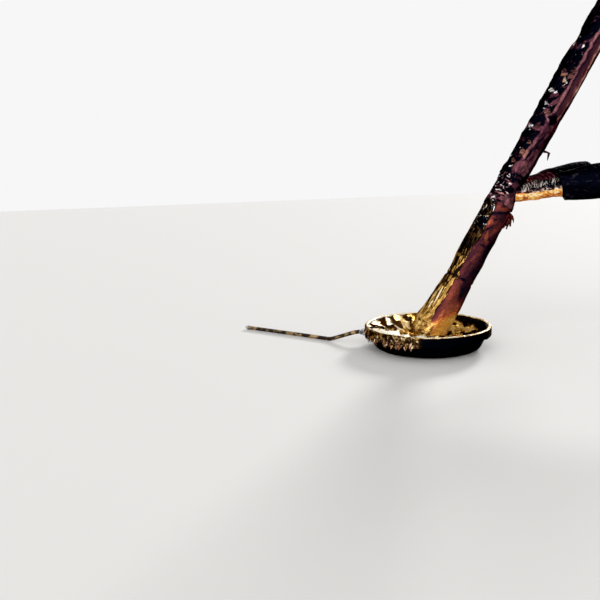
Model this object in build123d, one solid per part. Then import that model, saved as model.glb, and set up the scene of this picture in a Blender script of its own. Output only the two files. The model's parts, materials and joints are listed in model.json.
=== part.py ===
"""One landing leg of a crewed lunar lander, as it stands after touchdown.

The primary strut leans outboard from its upper pivot to a dished footpad on a ball joint.
Two secondary struts run inboard from a collar on the primary strut. Foil blankets wrap every strut
and line the pad, and the bent contact probe lies on the ground beside the pad.

Frame: millimetres, origin on the axis of the upper pivot, +Z up, +X inboard towards the vehicle,
+Y across the leg.
"""

import os
from math import asin, cos, radians, sin, sqrt

from build123d import *

# Fits and gaps
SEAT_GAP = 0.3
PIN_CLEARANCE = 0.2

# Layout of the leg
LEAN_DEG = 32.0
PIVOT_TO_BALL = 3450.0
BALL_ABOVE_SOLE = 135.0

# Primary strut, by distance up its axis from the ball centre
BALL_RADIUS = 50.0
NECK_RADIUS = 27.0
NECK_TOP = 75.0
BALL_FITTING_TOP = 215.0
BALL_FITTING_FLANGE = 15.0
BALL_FITTING_SPIGOT = 60.0
INNER_RADIUS = 70.0
INNER_WALL = 4.0
INNER_TOP = 2150.0
OUTER_RADIUS = 82.5
OUTER_WALL = 5.0
GLAND_BOTTOM = 1085.0
GLAND_HEIGHT = 36.0
GLAND_RADIUS = 92.0
GLAND_SPIGOT = 70.0
GLAND_NOTCHES = 8
GLAND_NOTCH_WIDTH = 14.0
GLAND_NOTCH_DEPTH = 5.0

# Upper universal joint
PIVOT_BORE = 19.0
PIVOT_EYE_RADIUS = 42.0
PIVOT_EYE_WIDTH = 70.0
CROSS_DROP = 74.0
CROSS_PIN_RADIUS = 18.0
CROSS_WIDTH = 74.0
FORK_EAR = 20.0
FORK_EYE_RADIUS = 40.0
FORK_ROOT_GAP = 50.0
HEAD_LENGTH = 220.0
HEAD_FLANGE_RADIUS = 92.0
HEAD_FLANGE = 18.0
HEAD_SPIGOT = 80.0
HEAD_CONE_TOP_RADIUS = 56.0
HEAD_RIBS = 8
HEAD_RIB_THICKNESS = 7.0
PIN_HEAD = 8.0
PIN_HEAD_EXTRA = 7.0

# Secondary struts, by distance along each from the primary strut's axis
COLLAR_AT = 1170.0
COLLAR_HEIGHT = 96.0
COLLAR_WALL = 11.0
PLAN_ANGLE_DEG = 27.0
RISE_DEG = 7.0
ROOT_PIN_AT = 150.0
ROOT_PIN_RADIUS = 16.0
ROOT_EYE_RADIUS = 30.0
ROOT_EYE_WIDTH = 36.0
LUG_THICKNESS = 13.0
LUG_ROOT_HALF_HEIGHT = 44.0
SHANK_FROM = 178.0
SHANK_RADIUS = 17.5
ROD_FROM = 235.0
ROD_RADIUS = 38.0
ROD_WALL = 4.0
ROD_TO = 900.0
SLEEVE_FROM = 455.0
SLEEVE_TO = 1330.0
SLEEVE_RADIUS = 63.5
SLEEVE_WALL = 4.0
SLEEVE_NUT = 43.0
SLEEVE_NUT_RADIUS = 72.0
SLEEVE_SPIGOT = 40.0
SLEEVE_NOTCHES = 6
END_PIN_AT = 1450.0
END_BORE = 16.0
END_EYE_RADIUS = 34.0
END_EYE_WIDTH = 44.0
END_FLANGE = 15.0
END_FLANGE_RADIUS = 68.0
END_NECK_RADIUS = 21.0
END_NECK_AT = 1405.0

# Footpad, by height above its sole
PAD_RADIUS = 468.0
PAD_RIM_HEIGHT = 176.0
PAD_WALL_FOOT_RADIUS = 404.0
PAD_WALL_FOOT_HEIGHT = 42.0
PAD_BILGE_RADIUS = 78.0
PAD_FLOOR_RADIUS = 152.0
PAD_FLOOR_HEIGHT = 44.0
PAD_RIM_BAND = 17.0
SKIN = 3.0
RIM_TUBE = 8.0

# Ball socket
BALL_CLEARANCE = 0.08
SEAT_THICKNESS = 5.0
SEAT_EDGE_DEG = 75.0
CUP_RADIUS = 74.0
CUP_DEPTH = 60.0
CUP_FACE = 6.0
RETAINER_TOP = 30.0
RETAINER_MOUTH_DEG = 57.0
RETAINER_BOLTS = 8
RETAINER_BOLT_RADIUS = 3.0
RETAINER_BOLT_HEAD = 4.0
HUB_FLANGE_RADIUS = 138.0
HUB_FLANGE = 7.0
HUB_DRUM_RADIUS = 80.0
HUB_SHELF_HEIGHT = 77.0
HUB_SHELF = 6.0
HUB_SHELF_LIP = 2.0
HUB_WEBS = 8
HUB_WEB_THICKNESS = 7.0

# Contact probe
PROBE_RADIUS = 16.0
PROBE_BEARING_DEG = 145.0
PROBE_HINGE_OUT = 512.0
PROBE_HINGE_HEIGHT = 94.0
PROBE_PIN_RADIUS = 7.0
PROBE_KNUCKLE_RADIUS = 19.0
PROBE_KNUCKLE_WIDTH = 30.0
PROBE_EAR = 9.0
PROBE_BASE_HALF_WIDTH = 40.0
PROBE_BASE_LOW = 62.0
PROBE_BASE_HIGH = 124.0
PROBE_BASE_THICKNESS = 12.0
PROBE_STUB = 45.0
PROBE_DROP_RUN = 200.0
PROBE_GROUND_RUN = 225.0
PROBE_KINK = 75.0
PROBE_LAST_RUN = 605.0
PROBE_LAST_DRIFT = 180.0
PROBE_BEND_RADIUS = 140.0
PROBE_TIP_RADIUS = 19.0
PROBE_TIP_LENGTH = 42.0

# Foil blankets
SHEATH_TOP_RADIUS = 100.0
SHEATH_WAIST_RADIUS = 103.0
SHEATH_WAIST_AT = 480.0
SHEATH_BAG_TO = 400.0
SKIRT_RADIUS = 122.0
SKIRT_HEM_HEIGHT = 118.0
BELL_RADIUS = 117.0
BELL_THROAT_RADIUS = 76.0
BOOT_RADIUS = 111.0
BOOT_WALL = 6.0
BOOT_OPENING_DEG = 45.0
SEAM_HEIGHT = 10.0
SEAM_ARC_DEG = 95.0
SEAM_TOWARDS_DEG = 197.0
SEAM_FROM = 30.0
COLLAR_BLANKET = 12.0
COLLAR_BLANKET_PAST = 100.0
COLLAR_BLANKET_HOLE = 62.0
UPPER_BLANKET = 23.0
UPPER_BLANKET_SHORT = 6.0
UPPER_BLANKET_GROWTH = 3.0
ROOT_WRAP_FROM = 124.0
ROOT_WRAP_STEP = 242.0
ROOT_WRAP_BORE = 50.0
ROOT_WRAP_RADIUS = 64.0
ROOT_WRAP_END_RADIUS = 70.0
SHROUD_MOUTH_STANDOFF = {"near": 22.0, "far": 2.0}
SHROUD_NECK_RADIUS = {"near": 122.0, "far": 88.0}
SHROUD_FULL_RADIUS = {"near": 128.0, "far": 104.0}
SHROUD_NECK_AT = 560.0
SHROUD_FULL_AT = 700.0
SHROUD_TAPER_AT = 1150.0
SHROUD_TAIL_RADIUS = 84.0
SHROUD_TAIL_AT = 1316.0
SHROUD_WALL = 12.0
LINER_FOIL = 4.0
RIM_FOIL = 6.0
RIM_FOIL_INSIDE_DROP = 4.0
RIM_FOIL_HEM_HEIGHT = 124.0
WALL_FOIL = 5.0
WALL_FOIL_FOOT = 12.0
WALL_FOIL_TOP = 118.0
WALL_FOIL_SLOT = 10.0

# Placement of the leg's own frames
LEAN = radians(LEAN_DEG)
UP_STRUT = Vector(sin(LEAN), 0, cos(LEAN))
BALL_CENTRE = UP_STRUT * -PIVOT_TO_BALL
SOLE_Z = BALL_CENTRE.Z - BALL_ABOVE_SOLE
LEG = Plane(origin=BALL_CENTRE, x_dir=(cos(LEAN), 0, -sin(LEAN)), z_dir=UP_STRUT)
PAD = Plane(origin=(BALL_CENTRE.X, 0, SOLE_Z))
COLLAR_POINT = BALL_CENTRE + UP_STRUT * COLLAR_AT
PROBE = PAD * Rot(0, 0, PROBE_BEARING_DEG)
SIDES = {"near": -1, "far": 1}

# Sizes that follow from the ones above
COLLAR_BORE = OUTER_RADIUS + SEAT_GAP
COLLAR_RADIUS = COLLAR_BORE + COLLAR_WALL
SHEATH_TOP = GLAND_BOTTOM - SEAT_GAP
COLLAR_BLANKET_RADIUS = COLLAR_RADIUS + SEAT_GAP + COLLAR_BLANKET
COLLAR_BLANKET_TOP = COLLAR_AT + COLLAR_HEIGHT / 2 + COLLAR_BLANKET_PAST
OUTER_TOP = PIVOT_TO_BALL - HEAD_LENGTH
UPPER_BLANKET_BOTTOM = COLLAR_BLANKET_TOP + SEAT_GAP
UPPER_BLANKET_TOP = OUTER_TOP - UPPER_BLANKET_SHORT
SOCKET_RADIUS = BALL_RADIUS + SEAT_THICKNESS + BALL_CLEARANCE


def secondary_frame(side):
    """Frame of one secondary strut: Z along it inboard, X along its pins, away from the leg's plane."""
    plan, rise = radians(PLAN_ANGLE_DEG), radians(RISE_DEG)
    along = Vector(cos(rise) * cos(plan), side * cos(rise) * sin(plan), sin(rise))
    return Plane(origin=COLLAR_POINT, x_dir=(-sin(plan), side * cos(plan), 0), z_dir=along)


def turned(profile, arc=360.0):
    """Solid turned about Z from a closed outline of (radius, height) points."""
    corners = [(radius, 0, height) for radius, height in profile]
    return revolve(make_face(Polyline(*corners, close=True)), axis=Axis.Z, revolution_arc=arc)


def round_bar(radius, low, high, axis="Z"):
    """Cylinder about a named axis between two coordinates on it."""
    turn = {"X": (0, 90, 0), "Y": (-90, 0, 0), "Z": (0, 0, 0)}[axis]
    bar = Cylinder(radius, high - low, align=(Align.CENTER, Align.CENTER, Align.MIN))
    return Rot(*turn) * Pos(0, 0, low) * bar


def tube(outer, inner, low, high):
    """Plain tube about Z."""
    return turned([(inner, low), (outer, low), (outer, high), (inner, high)])


def notched(ring, count, radius, width, depth, low, high):
    """Cuts spanner notches into the rim of a ring about Z."""
    for i in range(count):
        notch = Box(2 * depth, width, high - low, align=(Align.CENTER, Align.CENTER, Align.MIN))
        ring -= Rot(0, 0, i * 360 / count) * Pos(radius, 0, low) * notch
    return ring


def pinned(radius, half_length, head_side=1):
    """Pin about X with a head at one end and a nut at the other."""
    pin = round_bar(radius - PIN_CLEARANCE, -half_length, half_length, "X")
    for side in (-1, 1):
        start = half_length if side == 1 else -half_length - PIN_HEAD
        if side == head_side:
            pin += round_bar(radius + PIN_HEAD_EXTRA, start, start + PIN_HEAD, "X")
        else:
            nut = extrude(RegularPolygon(radius + PIN_HEAD_EXTRA, 6), amount=PIN_HEAD)
            pin += Pos(start, 0, 0) * Rot(0, 90, 0) * nut
    return pin


def eye_plate(eye_radius, eye_at, root_half, root_at, low, high):
    """Lug in the YZ plane: a round eye tangent to a wider root, between two X coordinates."""
    span = eye_at - root_at
    reach = sqrt(span**2 + root_half**2 - eye_radius**2)
    lean = asin(root_half / sqrt(span**2 + root_half**2)) - asin(
        eye_radius / sqrt(span**2 + root_half**2)
    )
    touch = (root_half - reach * sin(lean), root_at + reach * cos(lean))
    outline = Polyline(
        (low, -root_half, root_at),
        (low, -touch[0], touch[1]),
        (low, touch[0], touch[1]),
        (low, root_half, root_at),
        close=True,
    )
    plate = extrude(make_face(outline), amount=high - low, dir=(1, 0, 0))
    return plate + Pos(0, 0, eye_at) * round_bar(eye_radius, low, high, "X")


def ball_fitting():
    """Ball, neck and flared plug at the foot of the inner cylinder."""
    ball_meets_neck = sqrt(BALL_RADIUS**2 - NECK_RADIUS**2)
    plug_radius = INNER_RADIUS - INNER_WALL - PIN_CLEARANCE
    flange_foot = BALL_FITTING_TOP - BALL_FITTING_FLANGE
    shank = turned(
        [
            (0, 0),
            (NECK_RADIUS, 0),
            (NECK_RADIUS, ball_meets_neck),
            (NECK_RADIUS, NECK_TOP),
            (INNER_RADIUS, flange_foot),
            (INNER_RADIUS, BALL_FITTING_TOP),
            (plug_radius, BALL_FITTING_TOP),
            (plug_radius, BALL_FITTING_TOP + BALL_FITTING_SPIGOT),
            (0, BALL_FITTING_TOP + BALL_FITTING_SPIGOT),
        ]
    )
    return LEG * (shank + Sphere(BALL_RADIUS))


def inner_cylinder():
    """Sliding lower tube of the primary strut."""
    return LEG * tube(
        INNER_RADIUS, INNER_RADIUS - INNER_WALL, BALL_FITTING_TOP + SEAT_GAP, INNER_TOP
    )


def gland_nut():
    """Notched bearing nut that closes the outer cylinder around the inner one."""
    top = GLAND_BOTTOM + GLAND_HEIGHT
    bore = INNER_RADIUS + PIN_CLEARANCE
    spigot = OUTER_RADIUS - OUTER_WALL - PIN_CLEARANCE
    ring = turned(
        [
            (bore, GLAND_BOTTOM),
            (GLAND_RADIUS - GLAND_NOTCH_DEPTH, GLAND_BOTTOM),
            (GLAND_RADIUS, GLAND_BOTTOM + GLAND_NOTCH_DEPTH),
            (GLAND_RADIUS, top),
            (spigot, top),
            (spigot, top + GLAND_SPIGOT),
            (bore, top + GLAND_SPIGOT),
        ]
    )
    low, high = GLAND_BOTTOM, GLAND_BOTTOM + GLAND_HEIGHT / 2
    return LEG * notched(
        ring, GLAND_NOTCHES, GLAND_RADIUS, GLAND_NOTCH_WIDTH, GLAND_NOTCH_DEPTH, low, high
    )


def outer_cylinder():
    """Fixed upper tube of the primary strut."""
    foot = GLAND_BOTTOM + GLAND_HEIGHT + SEAT_GAP
    return LEG * tube(OUTER_RADIUS, OUTER_RADIUS - OUTER_WALL, foot, OUTER_TOP)


def strut_head():
    """Plug, flange, ribbed cone and fork at the top of the outer cylinder."""
    plug_radius = OUTER_RADIUS - OUTER_WALL - PIN_CLEARANCE
    flange_foot = OUTER_TOP + SEAT_GAP
    flange_top = flange_foot + HEAD_FLANGE
    cross_at = PIVOT_TO_BALL - CROSS_DROP
    fork_root = cross_at - FORK_ROOT_GAP
    head = turned(
        [
            (0, OUTER_TOP - HEAD_SPIGOT),
            (plug_radius, OUTER_TOP - HEAD_SPIGOT),
            (plug_radius, flange_foot),
            (HEAD_FLANGE_RADIUS, flange_foot),
            (HEAD_FLANGE_RADIUS, flange_top),
            (HEAD_CONE_TOP_RADIUS, fork_root),
            (0, fork_root),
        ]
    )
    inner_face = CROSS_WIDTH / 2 + SEAT_GAP
    outer_face = inner_face + FORK_EAR
    rib_foot = (HEAD_FLANGE_RADIUS - HEAD_CONE_TOP_RADIUS) / 2 + HEAD_CONE_TOP_RADIUS
    for i in range(HEAD_RIBS):
        rib_outline = Polyline(
            (HEAD_CONE_TOP_RADIUS / 2, flange_foot),
            (HEAD_FLANGE_RADIUS, flange_foot),
            (HEAD_FLANGE_RADIUS, flange_top),
            (rib_foot, fork_root),
            (HEAD_CONE_TOP_RADIUS / 2, fork_root),
            close=True,
        )
        rib = extrude(Plane.XZ * make_face(rib_outline), HEAD_RIB_THICKNESS / 2, both=True)
        head += Rot(0, 0, i * 360 / HEAD_RIBS) * rib
    for low, high in ((-outer_face, -inner_face), (inner_face, outer_face)):
        head += eye_plate(FORK_EYE_RADIUS, cross_at, HEAD_CONE_TOP_RADIUS, fork_root - 1, low, high)
    head -= Pos(0, 0, cross_at) * round_bar(CROSS_PIN_RADIUS, -outer_face, outer_face, "X")
    return LEG * head


def universal_block():
    """Link with two crossed bores between the strut's fork and the vehicle's pivot pin."""
    half_eye = PIVOT_EYE_WIDTH / 2
    half_cross = CROSS_WIDTH / 2
    block = round_bar(PIVOT_EYE_RADIUS, -half_eye, half_eye, "Y")
    lower = round_bar(half_eye, -half_cross, half_cross, "X")
    web = Box(CROSS_WIDTH, PIVOT_EYE_WIDTH, CROSS_DROP, align=(Align.CENTER, Align.CENTER, Align.MAX))
    block += Pos(0, 0, -CROSS_DROP) * lower + web
    block -= round_bar(PIVOT_BORE, -half_eye, half_eye, "Y")
    block -= Pos(0, 0, -CROSS_DROP) * round_bar(CROSS_PIN_RADIUS, -half_cross, half_cross, "X")
    return LEG * Pos(0, 0, PIVOT_TO_BALL) * block


def cross_pin():
    """Pin through the strut's fork and the universal block."""
    half_length = CROSS_WIDTH / 2 + FORK_EAR + 2 * SEAT_GAP
    pin = pinned(CROSS_PIN_RADIUS, half_length)
    return LEG * Pos(0, 0, PIVOT_TO_BALL - CROSS_DROP) * pin


def collar():
    """Clamp on the outer cylinder with a fork for each secondary strut."""
    low, high = COLLAR_AT - COLLAR_HEIGHT / 2, COLLAR_AT + COLLAR_HEIGHT / 2
    ring = LEG * tube(COLLAR_RADIUS, COLLAR_BORE, low, high)
    bore = LEG * round_bar(COLLAR_BORE, low - COLLAR_HEIGHT, high + COLLAR_HEIGHT)
    inner_face = ROOT_EYE_WIDTH / 2 + SEAT_GAP
    for side in SIDES.values():
        frame = secondary_frame(side)
        for low_x, high_x in (
            (-inner_face - LUG_THICKNESS, -inner_face),
            (inner_face, inner_face + LUG_THICKNESS),
        ):
            lug = eye_plate(
                ROOT_EYE_RADIUS, ROOT_PIN_AT, LUG_ROOT_HALF_HEIGHT, COLLAR_BORE, low_x, high_x
            )
            ring += frame * lug - bore
        hole_half = inner_face + LUG_THICKNESS
        ring -= frame * Pos(0, 0, ROOT_PIN_AT) * round_bar(
            ROOT_PIN_RADIUS, -hole_half, hole_half, "X"
        )
    return ring


def root_pin(side):
    """Pin that joins a secondary strut to the collar."""
    half_length = ROOT_EYE_WIDTH / 2 + LUG_THICKNESS + 2 * SEAT_GAP
    return secondary_frame(side) * Pos(0, 0, ROOT_PIN_AT) * pinned(ROOT_PIN_RADIUS, half_length)


def secondary_rod(side):
    """Eye end, shank and hollow rod that slides in the secondary strut's sleeve."""
    half = ROOT_EYE_WIDTH / 2
    bore = ROD_RADIUS - ROD_WALL
    rod = turned(
        [
            (0, SHANK_FROM - ROOT_EYE_RADIUS / 2),
            (SHANK_RADIUS, SHANK_FROM - ROOT_EYE_RADIUS / 2),
            (SHANK_RADIUS, SHANK_FROM),
            (ROD_RADIUS, ROD_FROM),
            (ROD_RADIUS, ROD_TO),
            (bore, ROD_TO),
            (bore, ROD_FROM + ROD_RADIUS),
            (0, ROD_FROM + ROD_RADIUS),
        ]
    )
    rod += Pos(0, 0, ROOT_PIN_AT) * round_bar(ROOT_EYE_RADIUS, -half, half, "X")
    rod -= Pos(0, 0, ROOT_PIN_AT) * round_bar(ROOT_PIN_RADIUS, -half, half, "X")
    return secondary_frame(side) * rod


def sleeve_nut(side):
    """Notched nut at the mouth of a secondary strut's sleeve."""
    low = SLEEVE_FROM - SLEEVE_NUT
    bore = ROD_RADIUS + PIN_CLEARANCE
    spigot = SLEEVE_RADIUS - SLEEVE_WALL - PIN_CLEARANCE
    nut = turned(
        [
            (bore, low),
            (SLEEVE_NUT_RADIUS - GLAND_NOTCH_DEPTH, low),
            (SLEEVE_NUT_RADIUS, low + GLAND_NOTCH_DEPTH),
            (SLEEVE_NUT_RADIUS, SLEEVE_FROM),
            (spigot, SLEEVE_FROM),
            (spigot, SLEEVE_FROM + SLEEVE_SPIGOT),
            (bore, SLEEVE_FROM + SLEEVE_SPIGOT),
        ]
    )
    return secondary_frame(side) * notched(
        nut,
        SLEEVE_NOTCHES,
        SLEEVE_NUT_RADIUS,
        GLAND_NOTCH_WIDTH,
        GLAND_NOTCH_DEPTH,
        low,
        low + SLEEVE_NUT / 2,
    )


def secondary_sleeve(side):
    """Outer tube of a secondary strut."""
    return secondary_frame(side) * tube(
        SLEEVE_RADIUS, SLEEVE_RADIUS - SLEEVE_WALL, SLEEVE_FROM + SEAT_GAP, SLEEVE_TO
    )


def secondary_end(side):
    """Plug, flange, cone and eye at the inboard end of a secondary strut."""
    plug_radius = SLEEVE_RADIUS - SLEEVE_WALL - PIN_CLEARANCE
    foot = SLEEVE_TO + SEAT_GAP
    half = END_EYE_WIDTH / 2
    end = turned(
        [
            (0, SLEEVE_TO - SLEEVE_SPIGOT),
            (plug_radius, SLEEVE_TO - SLEEVE_SPIGOT),
            (plug_radius, foot),
            (END_FLANGE_RADIUS, foot),
            (END_FLANGE_RADIUS, foot + END_FLANGE),
            (END_NECK_RADIUS, END_NECK_AT),
            (END_NECK_RADIUS, END_PIN_AT),
            (0, END_PIN_AT),
        ]
    )
    end += Pos(0, 0, END_PIN_AT) * round_bar(END_EYE_RADIUS, -half, half, "X")
    end -= Pos(0, 0, END_PIN_AT) * round_bar(END_BORE, -END_EYE_RADIUS, END_EYE_RADIUS, "X")
    return secondary_frame(side) * end


def boot_radius_at(height):
    """Outer radius of the hub's foil dome at a height above the sole."""
    return sqrt(BOOT_RADIUS**2 - (BALL_ABOVE_SOLE - height) ** 2)


def wall_slope():
    """Growth in radius of the pad's conical wall for each millimetre of height."""
    rise = PAD_RIM_HEIGHT - PAD_RIM_BAND - PAD_WALL_FOOT_HEIGHT
    return (PAD_RADIUS - RIM_TUBE - PAD_WALL_FOOT_RADIUS) / rise


def dish_height(radius):
    """Height of the pan's inner cone at a radius."""
    rise = PAD_RIM_HEIGHT - PAD_RIM_BAND - PAD_FLOOR_HEIGHT
    run = PAD_RADIUS - RIM_TUBE - SKIN - PAD_FLOOR_RADIUS
    return PAD_FLOOR_HEIGHT + rise * (radius - PAD_FLOOR_RADIUS) / run


def pan_outside(grow, top):
    """Line of the pan's sole, round bilge and conical wall up to a height, grown outwards."""
    slope = wall_slope()
    at_ground = PAD_WALL_FOOT_RADIUS - slope * PAD_WALL_FOOT_HEIGHT + grow * sqrt(1 + slope**2)
    return FilletPolyline(
        (0, 0, -grow),
        (at_ground - slope * grow, 0, -grow),
        (at_ground + slope * top, 0, top),
        radius=PAD_BILGE_RADIUS + grow,
    )


def pan_body(grow, top):
    """Solid of the pan's outer form up to a height, grown outwards."""
    outside = pan_outside(grow, top)
    rest = Polyline(outside @ 1, (0, 0, top), outside @ 0)
    return revolve(make_face([*outside.edges(), *rest.edges()]), axis=Axis.Z)


def footpad_pan():
    """Lower spun skin with its crushable core: flat sole, rounded bilge, conical wall, dished top."""
    rim_at = PAD_RIM_HEIGHT - PAD_RIM_BAND
    lip = PAD_RADIUS - RIM_TUBE
    dish = turned(
        [
            (0, PAD_FLOOR_HEIGHT),
            (PAD_FLOOR_RADIUS, PAD_FLOOR_HEIGHT),
            (lip - SKIN, rim_at),
            (0, rim_at),
        ]
    )
    return PAD * (pan_body(0, rim_at) - dish)


def footpad_upper_skin():
    """Upper spun skin: a ring-shaped cone bonded to the core."""
    outer = PAD_RADIUS - RIM_TUBE - 4 * SKIN
    inner = PAD_FLOOR_RADIUS + SKIN
    low, high = dish_height(inner) + SEAT_GAP, dish_height(outer) + SEAT_GAP
    return PAD * turned([(inner, low), (outer, high), (outer, high + SKIN), (inner, low + SKIN)])


def footpad_rim():
    """Rolled tube around the pad's lip."""
    lip = PAD_RADIUS - RIM_TUBE
    foot = PAD_RIM_HEIGHT - PAD_RIM_BAND + SEAT_GAP
    centre_height = PAD_RIM_HEIGHT - RIM_TUBE
    ring = turned([(lip - SKIN, foot), (lip, foot), (lip, centre_height), (lip - SKIN, centre_height)])
    roll = revolve(Plane.XZ * Pos(lip, centre_height) * Circle(RIM_TUBE), axis=Axis.Z)
    return PAD * (ring + roll)


def hub():
    """Machined hub: base flange, webbed drum and the ball's cup, tilted to face up the strut."""
    base = PAD_FLOOR_HEIGHT + SEAT_GAP
    shelf_radius = boot_radius_at(HUB_SHELF_HEIGHT) + HUB_SHELF_LIP
    shelf_foot = HUB_SHELF_HEIGHT - HUB_SHELF
    body = turned(
        [
            (0, base),
            (HUB_FLANGE_RADIUS, base),
            (HUB_FLANGE_RADIUS, base + HUB_FLANGE),
            (HUB_DRUM_RADIUS, base + HUB_FLANGE),
            (HUB_DRUM_RADIUS, shelf_foot),
            (shelf_radius, shelf_foot),
            (shelf_radius, HUB_SHELF_HEIGHT),
            (0, HUB_SHELF_HEIGHT),
        ]
    )
    for i in range(HUB_WEBS):
        web_outline = Polyline(
            (HUB_DRUM_RADIUS / 2, base),
            (HUB_FLANGE_RADIUS - HUB_FLANGE, base),
            (HUB_FLANGE_RADIUS - HUB_FLANGE, base + HUB_FLANGE),
            (shelf_radius, shelf_foot),
            (HUB_DRUM_RADIUS / 2, shelf_foot),
            close=True,
        )
        web = extrude(Plane.XZ * make_face(web_outline), HUB_WEB_THICKNESS / 2, both=True)
        body += Rot(0, 0, (i + 0.5) * 360 / HUB_WEBS) * web
    cup = LEG * round_bar(CUP_RADIUS, -CUP_DEPTH, CUP_FACE)
    above_face = LEG * round_bar(2 * CUP_RADIUS, CUP_FACE, CUP_FACE + 2 * CUP_RADIUS)
    below_base = PAD * round_bar(2 * CUP_RADIUS, -2 * CUP_RADIUS, base)
    return PAD * body + (cup - below_base) - above_face - LEG * Sphere(SOCKET_RADIUS)


def retainer():
    """Bolted ring that holds the ball in its cup."""
    foot = CUP_FACE + SEAT_GAP
    mouth = radians(RETAINER_MOUTH_DEG)
    ring = round_bar(CUP_RADIUS, foot, RETAINER_TOP)
    ring -= Sphere(SOCKET_RADIUS)
    throat = SOCKET_RADIUS * sin(mouth)
    flare = throat + (RETAINER_TOP - SOCKET_RADIUS * cos(mouth)) + SEAT_THICKNESS
    ring -= turned(
        [
            (0, foot),
            (throat, SOCKET_RADIUS * cos(mouth)),
            (flare, RETAINER_TOP + SEAT_THICKNESS),
            (0, RETAINER_TOP + SEAT_THICKNESS),
        ]
    )
    bolt_circle = (CUP_RADIUS + SOCKET_RADIUS) / 2 + RETAINER_BOLT_RADIUS
    for i in range(RETAINER_BOLTS):
        head = extrude(RegularPolygon(2 * RETAINER_BOLT_RADIUS, 6), amount=RETAINER_BOLT_HEAD)
        ring += Rot(0, 0, i * 360 / RETAINER_BOLTS) * Pos(bolt_circle, 0, RETAINER_TOP) * head
    return LEG * ring


def ball_seat():
    """Thin spherical seat between the ball and its cup."""
    inner, outer = BALL_RADIUS + BALL_CLEARANCE, BALL_RADIUS + SEAT_THICKNESS
    edge = cos(radians(SEAT_EDGE_DEG))
    shell = Sphere(outer) - Sphere(inner)
    above = round_bar(2 * outer, inner * edge, 2 * outer)
    return LEG * (shell - above)


def probe_path():
    """Centre line of the bent mast: outwards and down from its hinge, then along the ground."""
    lying = PROBE_TIP_RADIUS + SEAT_GAP
    start = PROBE_HINGE_OUT + PROBE_KNUCKLE_RADIUS + SEAT_GAP
    landed = start + PROBE_STUB + PROBE_DROP_RUN
    kinked = landed + PROBE_GROUND_RUN
    points = [
        (start, 0, PROBE_HINGE_HEIGHT),
        (start + PROBE_STUB, 0, PROBE_HINGE_HEIGHT - PROBE_RADIUS / 2),
        (landed, 0, lying),
        (kinked, -PROBE_KINK, lying),
        (kinked + PROBE_LAST_RUN, -PROBE_KINK - PROBE_LAST_DRIFT, lying),
    ]
    return FilletPolyline(*points, radius=PROBE_BEND_RADIUS)


def probe_mast():
    """Bent tube of the contact probe."""
    path = probe_path()
    section = Plane(origin=path @ 0, z_dir=path % 0) * Circle(PROBE_RADIUS)
    return PROBE * sweep(section, path=path)


def probe_knuckle():
    """Hinge knuckle at the foot of the mast."""
    half = PROBE_KNUCKLE_WIDTH / 2
    knuckle = round_bar(PROBE_KNUCKLE_RADIUS, -half, half, "Y")
    knuckle -= round_bar(PROBE_PIN_RADIUS, -half, half, "Y")
    return PROBE * Pos(PROBE_HINGE_OUT, 0, PROBE_HINGE_HEIGHT) * knuckle


def probe_pin():
    """Pin through the probe's knuckle and bracket."""
    pin = Rot(0, 0, 90) * pinned(PROBE_PIN_RADIUS, PROBE_KNUCKLE_WIDTH / 2 + PROBE_EAR + 2 * SEAT_GAP)
    return PROBE * Pos(PROBE_HINGE_OUT, 0, PROBE_HINGE_HEIGHT) * pin


def probe_bracket():
    """Fork on the pad's conical wall that carries the probe."""
    slope = wall_slope()
    low = PAD_WALL_FOOT_RADIUS + slope * (PROBE_BASE_LOW - PAD_WALL_FOOT_HEIGHT)
    high = PAD_WALL_FOOT_RADIUS + slope * (PROBE_BASE_HIGH - PAD_WALL_FOOT_HEIGHT)
    sunk = PAD_WALL_FOOT_RADIUS / 2
    base_outline = Polyline(
        (sunk, PROBE_BASE_LOW),
        (low + PROBE_BASE_THICKNESS, PROBE_BASE_LOW),
        (high + PROBE_BASE_THICKNESS, PROBE_BASE_HIGH),
        (sunk, PROBE_BASE_HIGH),
        close=True,
    )
    bracket = extrude(Plane.XZ * make_face(base_outline), PROBE_BASE_HALF_WIDTH, both=True)
    ear_frame = Plane(origin=(0, 0, PROBE_HINGE_HEIGHT), x_dir=(0, 1, 0), z_dir=(1, 0, 0))
    inner_face = PROBE_KNUCKLE_WIDTH / 2 + SEAT_GAP
    outer_face = inner_face + PROBE_EAR
    root_half = (PROBE_BASE_HIGH - PROBE_BASE_LOW) / 2
    for low_x, high_x in ((-outer_face, -inner_face), (inner_face, outer_face)):
        ear = eye_plate(PROBE_KNUCKLE_RADIUS, PROBE_HINGE_OUT, root_half, low, low_x, high_x)
        bracket += ear_frame * ear
    bracket -= Pos(PROBE_HINGE_OUT, 0, PROBE_HINGE_HEIGHT) * round_bar(
        PROBE_PIN_RADIUS, -outer_face, outer_face, "Y"
    )
    rim_at = PAD_RIM_HEIGHT - PAD_RIM_BAND
    wall = turned(
        [
            (0, PAD_WALL_FOOT_HEIGHT),
            (PAD_WALL_FOOT_RADIUS + SEAT_GAP, PAD_WALL_FOOT_HEIGHT),
            (PAD_RADIUS - RIM_TUBE + SEAT_GAP, rim_at),
            (0, rim_at),
        ]
    )
    return PROBE * (bracket - wall)


def probe_tip():
    """Domed contact head on the end of the mast."""
    path = probe_path()
    head = turned(
        [
            (0, SEAT_GAP),
            (PROBE_TIP_RADIUS, SEAT_GAP),
            (PROBE_TIP_RADIUS, PROBE_TIP_LENGTH / 2),
            (PROBE_TIP_RADIUS / 2, PROBE_TIP_LENGTH),
            (0, PROBE_TIP_LENGTH),
        ]
    )
    return PROBE * (Plane(origin=path @ 1, z_dir=path % 1) * head)


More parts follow.
